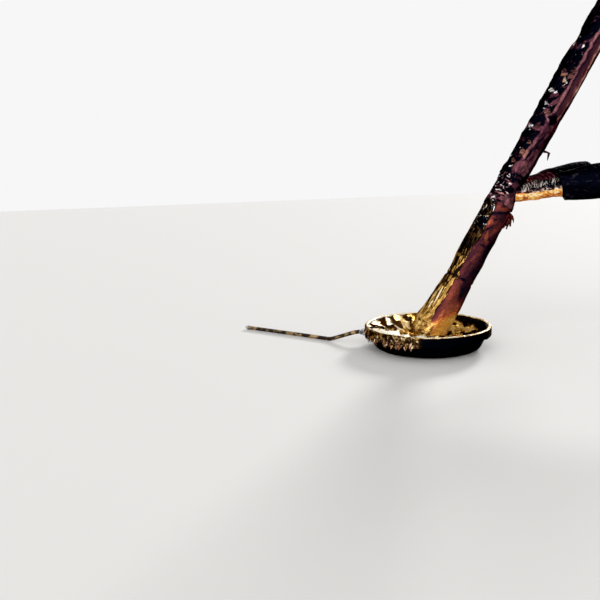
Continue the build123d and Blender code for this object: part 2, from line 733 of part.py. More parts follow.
def sheath_profile(grow=0.0):
    """Outer line of the lower sheath above the ball, as (radius, height) points, grown outwards."""
    return [
        (SKIRT_RADIUS + grow, 0),
        (SKIRT_RADIUS + grow, SHEATH_BAG_TO),
        (SHEATH_WAIST_RADIUS + grow, SHEATH_WAIST_AT),
        (SHEATH_TOP_RADIUS + grow, SHEATH_TOP),
    ]


def lower_sheath():
    """Foil blanket round the inner cylinder, ending in a round skirt that swings over the hub's dome."""
    bore = INNER_RADIUS + SEAT_GAP
    blanket = turned([(0, 0), *sheath_profile(), (0, SHEATH_TOP)]) + Sphere(SKIRT_RADIUS)
    blanket -= Sphere(BELL_RADIUS)
    blanket -= round_bar(BELL_THROAT_RADIUS, 0, BALL_FITTING_TOP)
    blanket -= round_bar(bore, 0, SHEATH_TOP)
    below_hem = round_bar(2 * SKIRT_RADIUS, -2 * SKIRT_RADIUS, SKIRT_HEM_HEIGHT)
    return LEG * blanket - PAD * below_hem


def sheath_seam():
    """Gathered foil along the lower sheath's outboard side, a wide raised strip."""
    inner, outer = sheath_profile(SEAT_GAP)[1:], sheath_profile(SEAM_HEIGHT)[1:]
    start_in, start_out = (inner[0][0], SEAM_FROM), (outer[0][0], SEAM_FROM)
    strip = turned([start_in, *inner, *reversed(outer), start_out], SEAM_ARC_DEG)
    return LEG * Rot(0, 0, SEAM_TOWARDS_DEG - SEAM_ARC_DEG / 2) * strip


def collar_blanket():
    """Foil round the gland nut and collar, with a hole for each secondary strut."""
    bore = COLLAR_RADIUS + SEAT_GAP
    blanket = LEG * tube(COLLAR_BLANKET_RADIUS, bore, GLAND_BOTTOM, COLLAR_BLANKET_TOP)
    for side in SIDES.values():
        hole = round_bar(COLLAR_BLANKET_HOLE, 0, ROOT_PIN_AT + 2 * ROOT_EYE_RADIUS)
        blanket -= secondary_frame(side) * hole
    return blanket


def upper_blanket():
    """Foil blanket round the outer cylinder."""
    bore = OUTER_RADIUS + SEAT_GAP
    radius = OUTER_RADIUS + UPPER_BLANKET
    return LEG * turned(
        [
            (bore, UPPER_BLANKET_BOTTOM),
            (radius, UPPER_BLANKET_BOTTOM),
            (radius + UPPER_BLANKET_GROWTH, UPPER_BLANKET_TOP),
            (bore, UPPER_BLANKET_TOP),
        ]
    )


def root_wrap(side):
    """Gold foil round a secondary strut's root fork and bare rod."""
    nut_face = SLEEVE_FROM - SLEEVE_NUT - SEAT_GAP
    bore = ROD_RADIUS + SEAT_GAP
    wrap = turned(
        [
            (ROOT_WRAP_BORE, ROOT_WRAP_FROM),
            (ROOT_WRAP_RADIUS, ROOT_WRAP_FROM),
            (ROOT_WRAP_END_RADIUS, nut_face),
            (bore, nut_face),
            (bore, ROOT_WRAP_STEP),
            (ROOT_WRAP_BORE, ROOT_WRAP_STEP - ROOT_WRAP_BORE + bore),
        ]
    )
    wrap = secondary_frame(side) * wrap
    wrap -= LEG * round_bar(
        COLLAR_BLANKET_RADIUS + SEAT_GAP, GLAND_BOTTOM - COLLAR_HEIGHT, 2 * COLLAR_BLANKET_TOP
    )
    reach = 4 * ROOT_WRAP_FROM
    across = side * (SEAT_GAP - reach)
    past_middle = Box(2 * reach, 2 * reach, 2 * reach)
    return wrap - Pos(COLLAR_POINT.X, across, COLLAR_POINT.Z) * past_middle


def shroud(name):
    """Black blanket over the sleeve of the named strut, seated on its nut; the near one stands off."""
    mouth = SLEEVE_FROM - SLEEVE_NUT
    seat = SLEEVE_NUT_RADIUS + SEAT_GAP
    inside_mouth = seat + SHROUD_MOUTH_STANDOFF[name]
    outside = [
        (inside_mouth + SHROUD_WALL, mouth),
        (SHROUD_NECK_RADIUS[name], SHROUD_NECK_AT),
        (SHROUD_FULL_RADIUS[name], SHROUD_FULL_AT),
        (SHROUD_FULL_RADIUS[name], SHROUD_TAPER_AT),
        (SHROUD_TAIL_RADIUS, SHROUD_TAIL_AT),
    ]
    inside = [(radius - SHROUD_WALL, height) for radius, height in reversed(outside[1:])]
    end = mouth + SHROUD_WALL
    profile = [(seat, mouth), *outside, *inside, (inside_mouth, end), (seat, end)]
    return secondary_frame(SIDES[name]) * turned(profile)


def dish_foil():
    """Gold foil laid in the pad's dish."""
    lift = SKIN + 2 * SEAT_GAP
    outer = PAD_RADIUS - RIM_TUBE - 6 * SKIN
    inner = PAD_FLOOR_RADIUS + 2 * SKIN
    low, high = dish_height(inner) + lift, dish_height(outer) + lift
    return PAD * turned(
        [(inner, low), (outer, high), (outer, high + LINER_FOIL), (inner, low + LINER_FOIL)]
    )


def rim_foil():
    """Foil folded over the pad's rim, hanging outside the wall to a ragged hem."""
    lip = PAD_RADIUS - RIM_TUBE
    clear = RIM_TUBE + SEAT_GAP
    top = PAD_RIM_HEIGHT - RIM_TUBE
    inside, outside = lip - clear, lip + clear
    inside_foot = top - RIM_FOIL_INSIDE_DROP
    crown_in = (lip, 0, top + clear)
    crown_out = (lip, 0, top + clear + RIM_FOIL)
    edges = [
        Line((inside, 0, top), (inside, 0, inside_foot)),
        Line((inside, 0, inside_foot), (inside - RIM_FOIL, 0, inside_foot)),
        Line((inside - RIM_FOIL, 0, inside_foot), (inside - RIM_FOIL, 0, top)),
        ThreePointArc((inside - RIM_FOIL, 0, top), crown_out, (outside + RIM_FOIL, 0, top)),
        Line((outside + RIM_FOIL, 0, top), (outside + RIM_FOIL, 0, RIM_FOIL_HEM_HEIGHT)),
        Line((outside + RIM_FOIL, 0, RIM_FOIL_HEM_HEIGHT), (outside, 0, RIM_FOIL_HEM_HEIGHT)),
        Line((outside, 0, RIM_FOIL_HEM_HEIGHT), (outside, 0, top)),
        ThreePointArc((outside, 0, top), crown_in, (inside, 0, top)),
    ]
    return PAD * revolve(make_face(edges), axis=Axis.Z)


def wall_foil():
    """Dark foil skirt over the pad's wall and round its bilge, slit for the probe's bracket."""
    skirt = pan_body(SEAT_GAP + WALL_FOIL, WALL_FOIL_TOP) - pan_body(SEAT_GAP, WALL_FOIL_TOP)
    skirt -= round_bar(PAD_RADIUS, -PAD_RADIUS, WALL_FOIL_FOOT)
    slot = Box(
        PAD_RADIUS,
        2 * (PROBE_BASE_HALF_WIDTH + WALL_FOIL_SLOT),
        PAD_RADIUS,
        align=(Align.MIN, Align.CENTER, Align.CENTER),
    )
    return PAD * skirt - PROBE * slot


def hub_boot():
    """Foil dome over the ball, seated on the hub's shelf and open round the strut's neck."""
    dome = LEG * (Sphere(BOOT_RADIUS) - Sphere(BOOT_RADIUS - BOOT_WALL))
    half_angle = radians(BOOT_OPENING_DEG)
    reach = 2 * BOOT_RADIUS
    opening = turned([(0, 0), (reach * sin(half_angle), reach * cos(half_angle)), (0, reach)])
    below = round_bar(2 * BOOT_RADIUS, -2 * BOOT_RADIUS, HUB_SHELF_HEIGHT + SEAT_GAP)
    return dome - LEG * opening - PAD * below


def main():
    """Builds every piece and writes one STEP file for each."""
    pieces = {
        "ball_fitting": ball_fitting(),
        "inner_cylinder": inner_cylinder(),
        "gland_nut": gland_nut(),
        "outer_cylinder": outer_cylinder(),
        "strut_head": strut_head(),
        "universal_block": universal_block(),
        "cross_pin": cross_pin(),
        "collar": collar(),
        "footpad_pan": footpad_pan(),
        "footpad_upper_skin": footpad_upper_skin(),
        "footpad_rim": footpad_rim(),
        "footpad_hub": hub(),
        "ball_retainer": retainer(),
        "ball_seat": ball_seat(),
        "probe_bracket": probe_bracket(),
        "probe_knuckle": probe_knuckle(),
        "probe_pin": probe_pin(),
        "probe_mast": probe_mast(),
        "probe_tip": probe_tip(),
        "lower_sheath": lower_sheath(),
        "sheath_seam": sheath_seam(),
        "collar_blanket": collar_blanket(),
        "upper_blanket": upper_blanket(),
        "dish_foil": dish_foil(),
        "rim_foil": rim_foil(),
        "wall_foil": wall_foil(),
        "hub_boot": hub_boot(),
    }
    for name, side in SIDES.items():
        pieces[f"root_pin_{name}"] = root_pin(side)
        pieces[f"rod_{name}"] = secondary_rod(side)
        pieces[f"sleeve_nut_{name}"] = sleeve_nut(side)
        pieces[f"sleeve_{name}"] = secondary_sleeve(side)
        pieces[f"strut_end_{name}"] = secondary_end(side)
        pieces[f"root_wrap_{name}"] = root_wrap(side)
        pieces[f"shroud_{name}"] = shroud(name)
    os.makedirs("parts", exist_ok=True)
    for name, piece in pieces.items():
        export_step(piece, f"parts/{name}.step")
    print("pieces written:", len(pieces))


main()
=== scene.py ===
"""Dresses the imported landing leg: crumpled foil blankets, metal finishes, studio and camera.

Every piece is in metres in the leg's own frame: origin on the upper pivot, +Z up, +X inboard.
Foil on the primary strut is placed by its height up the strut from the ball and by its bearing
round the strut, where 180 degrees is outboard and 270 is the side that faces the camera.
"""

from __future__ import annotations

import json
import logging
import math
from dataclasses import dataclass
from enum import Enum
from typing import Callable, Iterable, Sequence

import bmesh
import bpy
import numpy as np
from mathutils import Matrix, Vector

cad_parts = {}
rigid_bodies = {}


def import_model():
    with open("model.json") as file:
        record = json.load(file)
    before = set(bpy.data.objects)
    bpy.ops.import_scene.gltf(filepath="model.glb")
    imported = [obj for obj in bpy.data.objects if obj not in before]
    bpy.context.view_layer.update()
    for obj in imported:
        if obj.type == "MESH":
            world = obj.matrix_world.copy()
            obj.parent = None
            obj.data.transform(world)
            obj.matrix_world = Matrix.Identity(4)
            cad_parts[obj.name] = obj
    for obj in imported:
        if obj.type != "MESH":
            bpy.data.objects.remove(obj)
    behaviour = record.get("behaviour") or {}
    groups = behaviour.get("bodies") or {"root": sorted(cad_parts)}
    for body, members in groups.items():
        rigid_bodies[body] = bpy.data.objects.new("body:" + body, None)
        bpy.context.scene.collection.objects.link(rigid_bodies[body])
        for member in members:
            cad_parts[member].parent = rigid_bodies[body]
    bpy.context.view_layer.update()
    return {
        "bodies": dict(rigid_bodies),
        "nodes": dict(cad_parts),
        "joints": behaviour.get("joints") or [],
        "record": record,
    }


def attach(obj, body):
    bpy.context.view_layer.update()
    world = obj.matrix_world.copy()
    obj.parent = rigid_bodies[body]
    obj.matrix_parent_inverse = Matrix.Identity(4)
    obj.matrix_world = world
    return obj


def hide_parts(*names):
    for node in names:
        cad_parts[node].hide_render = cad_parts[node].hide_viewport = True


LOG = logging.getLogger("landing_leg")

Colour = tuple[float, float, float]
Place = tuple[float, float, float]
Span = tuple[float, float]
Stops = tuple[tuple[float, Colour], ...]
Table = tuple[Span, ...]
Points = np.ndarray
Socket = bpy.types.NodeSocket


class Side(Enum):
    """The two secondary struts, by the side of the leg that they stand on."""

    NEAR = -1
    FAR = 1

    @property
    def label(self) -> str:
        """Name used in node names."""
        return self.name.lower()


class Held(Enum):
    """How a sheet of foil is held."""

    GATHERED = "gathered"
    LAID = "laid"
    FOLDED = "folded"
    HUNG = "hung"


@dataclass(frozen=True)
class Layout:
    """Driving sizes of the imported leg, and its local frames."""

    lean: float = math.radians(32.0)
    pivot_to_ball: float = 3.45
    ball_above_sole: float = 0.135
    collar_at: float = 1.170
    plan_angle: float = math.radians(27.0)
    rise: float = math.radians(7.0)
    probe_bearing: float = math.radians(145.0)

    @property
    def up_strut(self) -> Vector:
        """Unit vector up the primary strut."""
        return Vector((math.sin(self.lean), 0.0, math.cos(self.lean)))

    @property
    def ball(self) -> Vector:
        """Centre of the ball joint."""
        return self.up_strut * -self.pivot_to_ball

    @property
    def sole(self) -> float:
        """Height of the ground under the footpad."""
        return self.ball.z - self.ball_above_sole

    def leg(self) -> Matrix:
        """Frame with Z up the primary strut, from the ball's centre."""
        across = Vector((math.cos(self.lean), 0.0, -math.sin(self.lean)))
        return frame_of(self.ball, across, self.up_strut)

    def pad(self) -> Matrix:
        """Frame with its origin on the ground under the footpad."""
        return Matrix.Translation((self.ball.x, 0.0, self.sole))

    def secondary(self, side: Side) -> Matrix:
        """Frame of a secondary strut.

        Args:
            side: Which strut.

        Returns:
            Frame with Z inboard along the strut and X away from the leg's plane.
        """
        flat, rising = math.cos(self.rise), math.sin(self.rise)
        ahead, aside = math.cos(self.plan_angle), math.sin(self.plan_angle)
        along = Vector((flat * ahead, side.value * flat * aside, rising))
        across = Vector((-aside, side.value * ahead, 0.0))
        return frame_of(self.ball + self.up_strut * self.collar_at, across, along)


def frame_of(origin: Vector, across: Vector, along: Vector) -> Matrix:
    """Builds a frame from its origin, X direction and Z direction.

    Args:
        origin: Where the frame stands.
        across: Unit X direction.
        along: Unit Z direction.

    Returns:
        The frame as a matrix.
    """
    side = along.cross(across)
    frame = Matrix((across, side, along)).transposed().to_4x4()
    frame.translation = origin
    return frame


LAYOUT = Layout()

# Where bearings start on the leg and on the pad, in degrees; they run up by 360 from there
LEG_START = 68.0
PAD_START = -26.0

# Soft edges of the inboard side of the leg's blankets, and of the pad's outboard half, which is painted
# bright as if sunlit against painted shade on the inboard half
INBOARD_END = (410.0, 396.0)
PAINTED_LIT_HALF = (168.0, 98.0, 82.0)


# Arithmetic on arrays of points


def ramp(value: Points, low: Points | float, high: Points | float) -> Points:
    """Smooth step from 0 at low to 1 at high; low may be the larger."""
    share = np.clip((value - low) / (high - low), 0.0, 1.0)
    return share * share * (3.0 - 2.0 * share)


def window(value: Points, rise: Sequence, fall: Sequence) -> Points:
    """1 between two soft edges, each given by its value for 0 and its value for 1."""
    return ramp(value, *rise) * ramp(value, *fall)


def around(value: Points, middle: Points | float, outer: float, inner: float) -> Points:
    """1 within the inner distance of a middle, falling to 0 at the outer one."""
    return ramp(np.abs(value - middle), outer, inner)


def bell(value: Points, middle: Points | float, width: float) -> Points:
    """1 at the middle, falling away smoothly over the width."""
    return np.exp(-(((value - middle) / width) ** 2))


def along_table(value: Points, table: Table) -> Points:
    """Value read from a short table of (place, amount) rows."""
    rows = np.array(table)
    return np.interp(value, rows[:, 0], rows[:, 1])


def bearing_of(points: Points, start: float) -> Points:
    """Bearing of each point about Z, in degrees from start up to start + 360."""
    bearing = np.degrees(np.arctan2(points[:, 1], points[:, 0]))
    return (bearing - start) % 360.0 + start


def sector(bearing: Points, middle: float, outer: float, inner: float) -> Points:
    """1 within the inner angle of a bearing, falling to 0 at the outer one."""
    return ramp(np.abs((bearing - middle + 180.0) % 360.0 - 180.0), outer, inner)


def radius_of(points: Points) -> Points:
    """Distance of each point from Z."""
    return np.maximum(np.hypot(points[:, 0], points[:, 1]), 1e-6)


def outwards(points: Points, offset: Points) -> Points:
    """Points moved away from Z by an offset each."""
    moved = points.copy()
    growth = 1.0 + offset / radius_of(points)
    moved[:, 0] *= growth
    moved[:, 1] *= growth
    return moved


# Odd multipliers that spread the bits of a lattice corner over one 32-bit word
CORNER_FACTORS = np.array((73856093, 19349663, 83492791))
SEED_FACTOR = 2654435761
MIXES = ((15, 2246822519), (13, 3266489917))
WORD = 0xFFFFFFFF
FRACTION = 0x1000000


def scatter(corner: Points, seed: int) -> Points:
    """Repeatable random number between 0 and 1 for each whole-number lattice corner."""
    mixed = np.bitwise_xor.reduce(corner * CORNER_FACTORS, axis=1)
    mixed = (mixed ^ (seed * SEED_FACTOR)) & WORD
    for shift, factor in MIXES:
        mixed = ((mixed ^ (mixed >> shift)) * factor) & WORD
    return ((mixed ^ (mixed >> 16)) & (FRACTION - 1)) / float(FRACTION)


def folded(place: Points, seed: int) -> tuple[Points, Points, Points]:
    """Random lattice values joined linearly over the six tetrahedra of each cell.

    Args:
        place: Points in lattice units.
        seed: Which field of values.

    Returns:
        The value at each point, 0 to 1; a random number for the tetrahedron that holds it; and how
        far the point is from that tetrahedron's faces, where the folds lie.
    """
    base = np.floor(place).astype(np.int64)
    part = place - base
    order = np.argsort(-part, axis=1)
    ranked = np.take_along_axis(part, order, axis=1)
    steps = np.stack(
        [1.0 - ranked[:, 0], ranked[:, 0] - ranked[:, 1], ranked[:, 1] - ranked[:, 2], ranked[:, 2]], 1
    )
    corner = base.copy()
    value = steps[:, 0] * scatter(corner, seed)
    rows = np.arange(len(place))
    for step in range(3):
        corner[rows, order[:, step]] += 1
        value = value + steps[:, step + 1] * scatter(corner, seed)
    kind = order[:, 0] * 3 + order[:, 1]
    return value, scatter(base + kind[:, None] * 17, seed + 101), steps.min(axis=1)


@dataclass
class Creases:
    """What a crumple does at each point."""

    level: Points
    facet: Points
    shard: Points
    fold: Points

    @property
    def tint(self) -> Points:
        """Random shade of the large facet, -0.5 to 0.5."""
        return self.facet - 0.5


@dataclass(frozen=True)
class Crumple:
    """Flat facets between sharp folds, in ever smaller octaves."""

    size: float
    stretch: float = 1.0
    octaves: int = 3
    gain: float = 0.5
    warp: float = 0.8
    seed: int = 1
    bend_scale: float = 0.6
    bend_step: float = 7.3
    fold_width: float = 0.05
    span: float = 50.0

    def at(self, points: Points) -> Creases:
        """Samples the crumple.

        Args:
            points: Local points, with Z along the strut.

        Returns:
            Level of the surface, about -1 to 1, a random number for the large facet and for the
            small one that hold each point, and 1 on the large folds falling to 0 beside them.
        """
        rng = np.random.default_rng(self.seed)
        squeezed = points / np.array([1.0, 1.0, self.stretch])
        level = np.zeros(len(points))
        facets: list[Points] = []
        folds: list[Points] = []
        scale, weight = self.size, 1.0
        for octave in range(self.octaves):
            turn, _ = np.linalg.qr(rng.normal(size=(3, 3)))
            place = squeezed @ turn / scale + rng.uniform(0.0, self.span, 3)
            slow = [place * self.bend_scale + self.bend_step * (axis + 1) for axis in range(3)]
            bend = np.stack([folded(slow[axis], axis)[0] for axis in range(3)], 1)
            value, cell, away = folded(place + self.warp * (bend - 0.5), self.seed + octave)
            level += weight * (2.0 * value - 1.0)
            facets.append(cell)
            folds.append(away)
            scale *= 0.5
            weight *= self.gain
        return Creases(level, facets[0], facets[-1], ramp(folds[0], self.fold_width, 0.0))


@dataclass
class Paint:
    """Colour plan of a piece: tone from dark to bright, hue from its first film to its second."""

    tone: Points
    hue: Points

    @classmethod
    def plain(cls, points: Points, tone: float, hue: float = 0.0) -> "Paint":
        """Same tone and hue at every point."""
        return cls(np.full(len(points), tone), np.full(len(points), hue))

    def lay(self, mask: Points, tone: Points | float, hue: Points | float | None = None) -> None:
        """Lays a tone, and a hue if one is given, over the masked part."""
        self.tone = self.tone + (tone - self.tone) * mask
        if hue is not None:
            self.hue = self.hue + (hue - self.hue) * mask


@dataclass(frozen=True)
class Patch:
    """One facet that stands out: its middle on a tube, half sizes, lean and colour."""

    bearing: float
    height: float
    half_arc: float
    half_length: float
    slant: float
    tone: float
    hue: float

    def lay(self, paint: Paint, bearing: Points, height: Points, wobble: Points) -> None:
        """Lays the facet as a lozenge whose edges follow the wobble."""
        along = (height - self.height) / self.half_length
        across = (bearing - self.bearing - self.slant * along) / self.half_arc
        paint.lay(ramp(np.abs(along) + np.abs(across) + 0.35 * wobble, 1.2, 0.85), self.tone, self.hue)


def patch_rows(*rows: Sequence[float]) -> tuple[Patch, ...]:
    """Facets from rows of bearing, height, half arc, half length, slant, tone and hue."""
    return tuple(Patch(*row) for row in rows)


# Colours of the films, in linear light

AMBER: Stops = (
    (0.0, (0.0006, 0.0010, 0.0035)),
    (0.15, (0.006, 0.003, 0.008)),
    (0.30, (0.045, 0.010, 0.014)),
    (0.45, (0.13, 0.027, 0.018)),
    (0.58, (0.27, 0.065, 0.034)),
    (0.70, (0.62, 0.15, 0.035)),
    (0.88, (1.0, 0.53, 0.08)),
    (1.0, (1.0, 0.90, 0.62)),
)
GOLD: Stops = (
    (0.0, (0.001, 0.0008, 0.001)),
    (0.18, (0.012, 0.006, 0.003)),
    (0.35, (0.07, 0.03, 0.008)),
    (0.50, (0.22, 0.11, 0.025)),
    (0.65, (0.50, 0.28, 0.07)),
    (0.82, (0.90, 0.60, 0.20)),
    (1.0, (1.0, 0.95, 0.80)),
)
BLACK: Stops = (
    (0.0, (0.0004, 0.0008, 0.0025)),
    (0.45, (0.0012, 0.0014, 0.004)),
    (0.62, (0.014, 0.012, 0.016)),
    (0.80, (0.16, 0.14, 0.14)),
    (1.0, (0.92, 0.91, 0.90)),
)
PLUM: Stops = (
    (0.0, (0.0006, 0.0010, 0.0035)),
    (0.16, (0.006, 0.003, 0.009)),
    (0.30, (0.030, 0.009, 0.017)),
    (0.44, (0.075, 0.022, 0.032)),
    (0.58, (0.17, 0.066, 0.072)),
    (0.72, (0.34, 0.15, 0.11)),
    (0.86, (0.62, 0.36, 0.24)),
    (1.0, (0.90, 0.74, 0.66)),
)


class NodeNet:
    """Thin helper over one node tree."""

    def __init__(self, tree: bpy.types.NodeTree) -> None:
        """Takes the tree that the nodes go into."""
        self.tree = tree

    def feed(self, node: bpy.types.Node, inputs: dict) -> None:
        """Joins sockets to a node's inputs, or sets plain values on them."""
        for key, value in inputs.items():
            if isinstance(value, Socket):
                self.tree.links.new(value, node.inputs[key])
            else:
                node.inputs[key].default_value = value

    def add(self, kind: str, inputs: dict | None = None, **settings: object) -> bpy.types.Node:
        """Adds a node.

        Args:
            kind: Node type, less its first word.
            inputs: Sockets and plain values for its inputs, by name or number.
            settings: Its properties.

        Returns:
            The node.
        """
        node = self.tree.nodes.new("ShaderNode" + kind)
        for key, value in settings.items():
            setattr(node, key, value)
        self.feed(node, inputs or {})
        return node

    def place(self) -> Socket:
        """Object coordinates."""
        return self.add("TexCoord").outputs["Object"]

    def attribute(self, name: str) -> Socket:
        """Number carried by the mesh's points."""
        return self.add("Attribute", attribute_name=name).outputs["Fac"]

    def noise(self, place: Socket, scale: float, detail: float) -> Socket:
        """Noise factor at a scale, with so many octaves of detail."""
        inputs = {"Vector": place, "Scale": scale, "Detail": detail}
        return self.add("TexNoise", inputs).outputs["Fac"]

    def facets(self, place: Socket, scale: float) -> Socket:
        """Distance to the middle of small creased cells, so many for each metre."""
        return self.add("TexVoronoi", {"Vector": place, "Scale": scale}, feature="F1").outputs["Distance"]

    def math(self, operation: str, *values: Socket | float, clamp: bool = False) -> Socket:
        """Result of a math node fed by sockets or plain numbers."""
        return self.add("Math", dict(enumerate(values)), operation=operation, use_clamp=clamp).outputs[0]

    def ramp(self, factor: Socket, stops: Stops) -> Socket:
        """Colour that a factor picks from a ramp of positions and linear colours."""
        node = self.add("ValToRGB", {"Fac": factor})
        band = node.color_ramp
        while len(band.elements) < len(stops):
            band.elements.new(0.5)
        for element, (position, colour) in zip(band.elements, stops):
            element.position = position
            element.color = (*colour, 1.0)
        return node.outputs["Color"]

    def mix(self, factor: Socket, first: Socket, second: Socket) -> Socket:
        """Mixes two colours by a factor."""
        return self.add("Mix", {"Factor": factor, 6: first, 7: second}, data_type="RGBA").outputs[2]

    def spread(self, factor: Socket, limits: Span, source: Span = (0.3, 0.7)) -> Socket:
        """Maps a factor onto a range.

        Args:
            factor: What is mapped, as a rule a noise factor.
            limits: Values at the two ends of the source range.
            source: Factors that stand for the two ends.

        Returns:
            The mapped value.
        """
        inputs = {"Value": factor, "From Min": source[0], "From Max": source[1]}
        inputs |= {"To Min": limits[0], "To Max": limits[1]}
        return self.add("MapRange", inputs).outputs["Result"]

    def bump(self, height: Socket, strength: float, depth: float) -> Socket:
        """Normal roughened by a height, whose 1 stands for a depth in metres."""
        inputs = {"Height": height, "Strength": strength, "Distance": depth}
        return self.add("Bump", inputs).outputs["Normal"]


@dataclass(frozen=True)
class Finish:
    """A material that is made at its first use."""

    name: str

    def surface(self, net: NodeNet) -> dict:
        """Adds the material's nodes and gives what feeds its shader, by socket name."""
        raise NotImplementedError

    def build(self) -> bpy.types.Material:
        """Makes the material once and returns it."""
        found = bpy.data.materials.get(self.name)
        if found is not None:
            return found
        material = bpy.data.materials.new(self.name)
        material.use_nodes = True
        net = NodeNet(material.node_tree)
        net.feed(material.node_tree.nodes["Principled BSDF"], self.surface(net))
        return material


@dataclass(frozen=True)
class FoilFinish(Finish):
    """Metallised film whose colour follows its piece's tone and hue."""

    first: Stops
    second: Stops
    roughness: Span = (0.2, 0.38)
    edge_tint: Colour = (0.30, 0.24, 0.22)
    wrinkles: float = 70.0
    wrinkle_depth: float = 0.004
    mottle: float = 0.10
    least_metallic: float = 0.45
    metallic_fall: Span = (0.60, 0.90)

    def surface(self, net: NodeNet) -> dict:
        """Mottled tone through two ramps, fine wrinkles, and less metal where the film is bright."""
        place = net.place()
        grain = net.noise(place, scale=46.0, detail=5.0)
        shift = net.math("MULTIPLY_ADD", grain, self.mottle * 2.0, -self.mottle)
        tone = net.math("ADD", net.attribute("tone"), shift, clamp=True)
        fine = net.noise(place, scale=self.wrinkles * 2.4, detail=5.0)
        height = net.math("MULTIPLY_ADD", net.facets(place, self.wrinkles), 0.9, fine)
        films = (net.ramp(tone, self.first), net.ramp(tone, self.second))
        return {
            "Base Color": net.mix(net.attribute("hue"), *films),
            "Metallic": net.spread(tone, (1.0, self.least_metallic), self.metallic_fall),
            "Roughness": net.spread(net.noise(place, scale=21.0, detail=3.0), self.roughness),
            "Specular Tint": (*self.edge_tint, 1.0),
            "Normal": net.bump(height, strength=0.45, depth=self.wrinkle_depth),
        }


@dataclass(frozen=True)
class MetalFinish(Finish):
    """Bare or coated metal with drawn lines, smudges and small dents."""

    colour: Colour
    dark: Colour
    metallic: float = 1.0
    roughness: Span = (0.28, 0.5)
    lines: float = 260.0
    drawn_out: Place = (0.12, 1.0, 1.0)
    dent: float = 0.12

    def surface(self, net: NodeNet) -> dict:
        """Smudged colour and gloss over noise that is drawn out along X."""
        place = net.place()
        smudge = net.noise(place, scale=9.0, detail=6.0)
        stretch = net.add("Mapping", {"Vector": place, "Scale": self.drawn_out}).outputs["Vector"]
        drawn = net.noise(stretch, scale=self.lines, detail=2.0)
        return {
            "Base Color": net.ramp(smudge, ((0.34, self.dark), (0.62, self.colour))),
            "Metallic": self.metallic,
            "Roughness": net.spread(net.noise(place, scale=34.0, detail=4.0), self.roughness),
            "Normal": net.bump(drawn, strength=self.dent, depth=0.002),
        }


@dataclass(frozen=True)
class WrappedMetal(Finish):
    """Tube wound with golden tape, mostly dark as painted shade, with bright patches along it as painted
    highlights.
    """

    bright: Colour
    dark: Colour
    metallic: float = 0.9
    roughness: Span = (0.22, 0.45)

    def surface(self, net: NodeNet) -> dict:
        """Patches of two colours over creased tape."""
        place = net.place()
        patch = net.noise(place, scale=16.0, detail=6.0)
        fine = net.noise(place, scale=150.0, detail=4.0)
        height = net.math("MULTIPLY_ADD", net.facets(place, 90.0), 0.9, fine)
        return {
            "Base Color": net.ramp(patch, ((0.46, self.dark), (0.62, self.bright))),
            "Metallic": self.metallic,
            "Roughness": net.spread(net.noise(place, scale=60.0, detail=3.0), self.roughness),
            "Normal": net.bump(height, strength=0.5, depth=0.004),
        }


@dataclass(frozen=True)
class MattFinish(Finish):
    """One even, matt colour."""

    colour: Colour
    roughness: float = 0.9

    def surface(self, net: NodeNet) -> dict:
        """Plain values."""
        return {"Base Color": (*self.colour, 1.0), "Roughness": self.roughness}


AMBER_FOIL = FoilFinish("amber foil", AMBER, GOLD, edge_tint=(0.22, 0.12, 0.09), least_metallic=0.35)
GOLD_FOIL = FoilFinish("gold foil", GOLD, BLACK, edge_tint=(0.22, 0.16, 0.11))
SEAM_FOIL = FoilFinish("seam foil", BLACK, GOLD, edge_tint=(0.16, 0.12, 0.10))
ROOT_FOIL = FoilFinish("root foil", AMBER, BLACK, edge_tint=(0.22, 0.14, 0.10), least_metallic=0.3)
TORN_FOIL = FoilFinish("torn foil", PLUM, GOLD, edge_tint=(0.20, 0.15, 0.12), least_metallic=0.3)
BLACK_FOIL = FoilFinish("black foil", BLACK, PLUM, edge_tint=(0.10, 0.09, 0.10))
# Probe tape: dark as painted shade, with patches of painted highlight
PROBE_TAPE = WrappedMetal("probe tape", (0.42, 0.28, 0.13), (0.02, 0.011, 0.006))
METALS: dict[str, MetalFinish] = {
    "bare_aluminium": MetalFinish("bare aluminium", (0.72, 0.73, 0.75), (0.48, 0.48, 0.5)),
    "machined_aluminium": MetalFinish("machined aluminium", (0.60, 0.61, 0.63), (0.36, 0.36, 0.38)),
    "pad_aluminium": MetalFinish("pad aluminium", (0.42, 0.41, 0.40), (0.16, 0.15, 0.145)),
    "dark_steel": MetalFinish("dark steel", (0.20, 0.20, 0.22), (0.09, 0.09, 0.1)),
    "seat_liner": MetalFinish("seat liner", (0.05, 0.05, 0.055), (0.03, 0.03, 0.03), metallic=0.0),
}


# Making meshes and objects


def mesh_of(name: str, work: bmesh.types.BMesh) -> bpy.types.Mesh:
    """Turns worked geometry into a mesh, and frees it."""
    mesh = bpy.data.meshes.new(name)
    work.to_mesh(mesh)
    work.free()
    return mesh


def linked(name: str, data: bpy.types.ID) -> bpy.types.Object:
    """Makes an object of its data and links it to the scene."""
    made = bpy.data.objects.new(name, data)
    bpy.context.scene.collection.objects.link(made)
    return made


def cut_away(work: bmesh.types.BMesh, frame: Matrix, inside: Callable[[Vector], bool]) -> None:
    """Deletes the faces whose middle, seen in a frame, lies inside a hole."""
    doomed = [face for face in work.faces if inside(frame @ face.calc_center_median())]
    bmesh.ops.delete(work, geom=doomed, context="FACES")


# Foil pieces


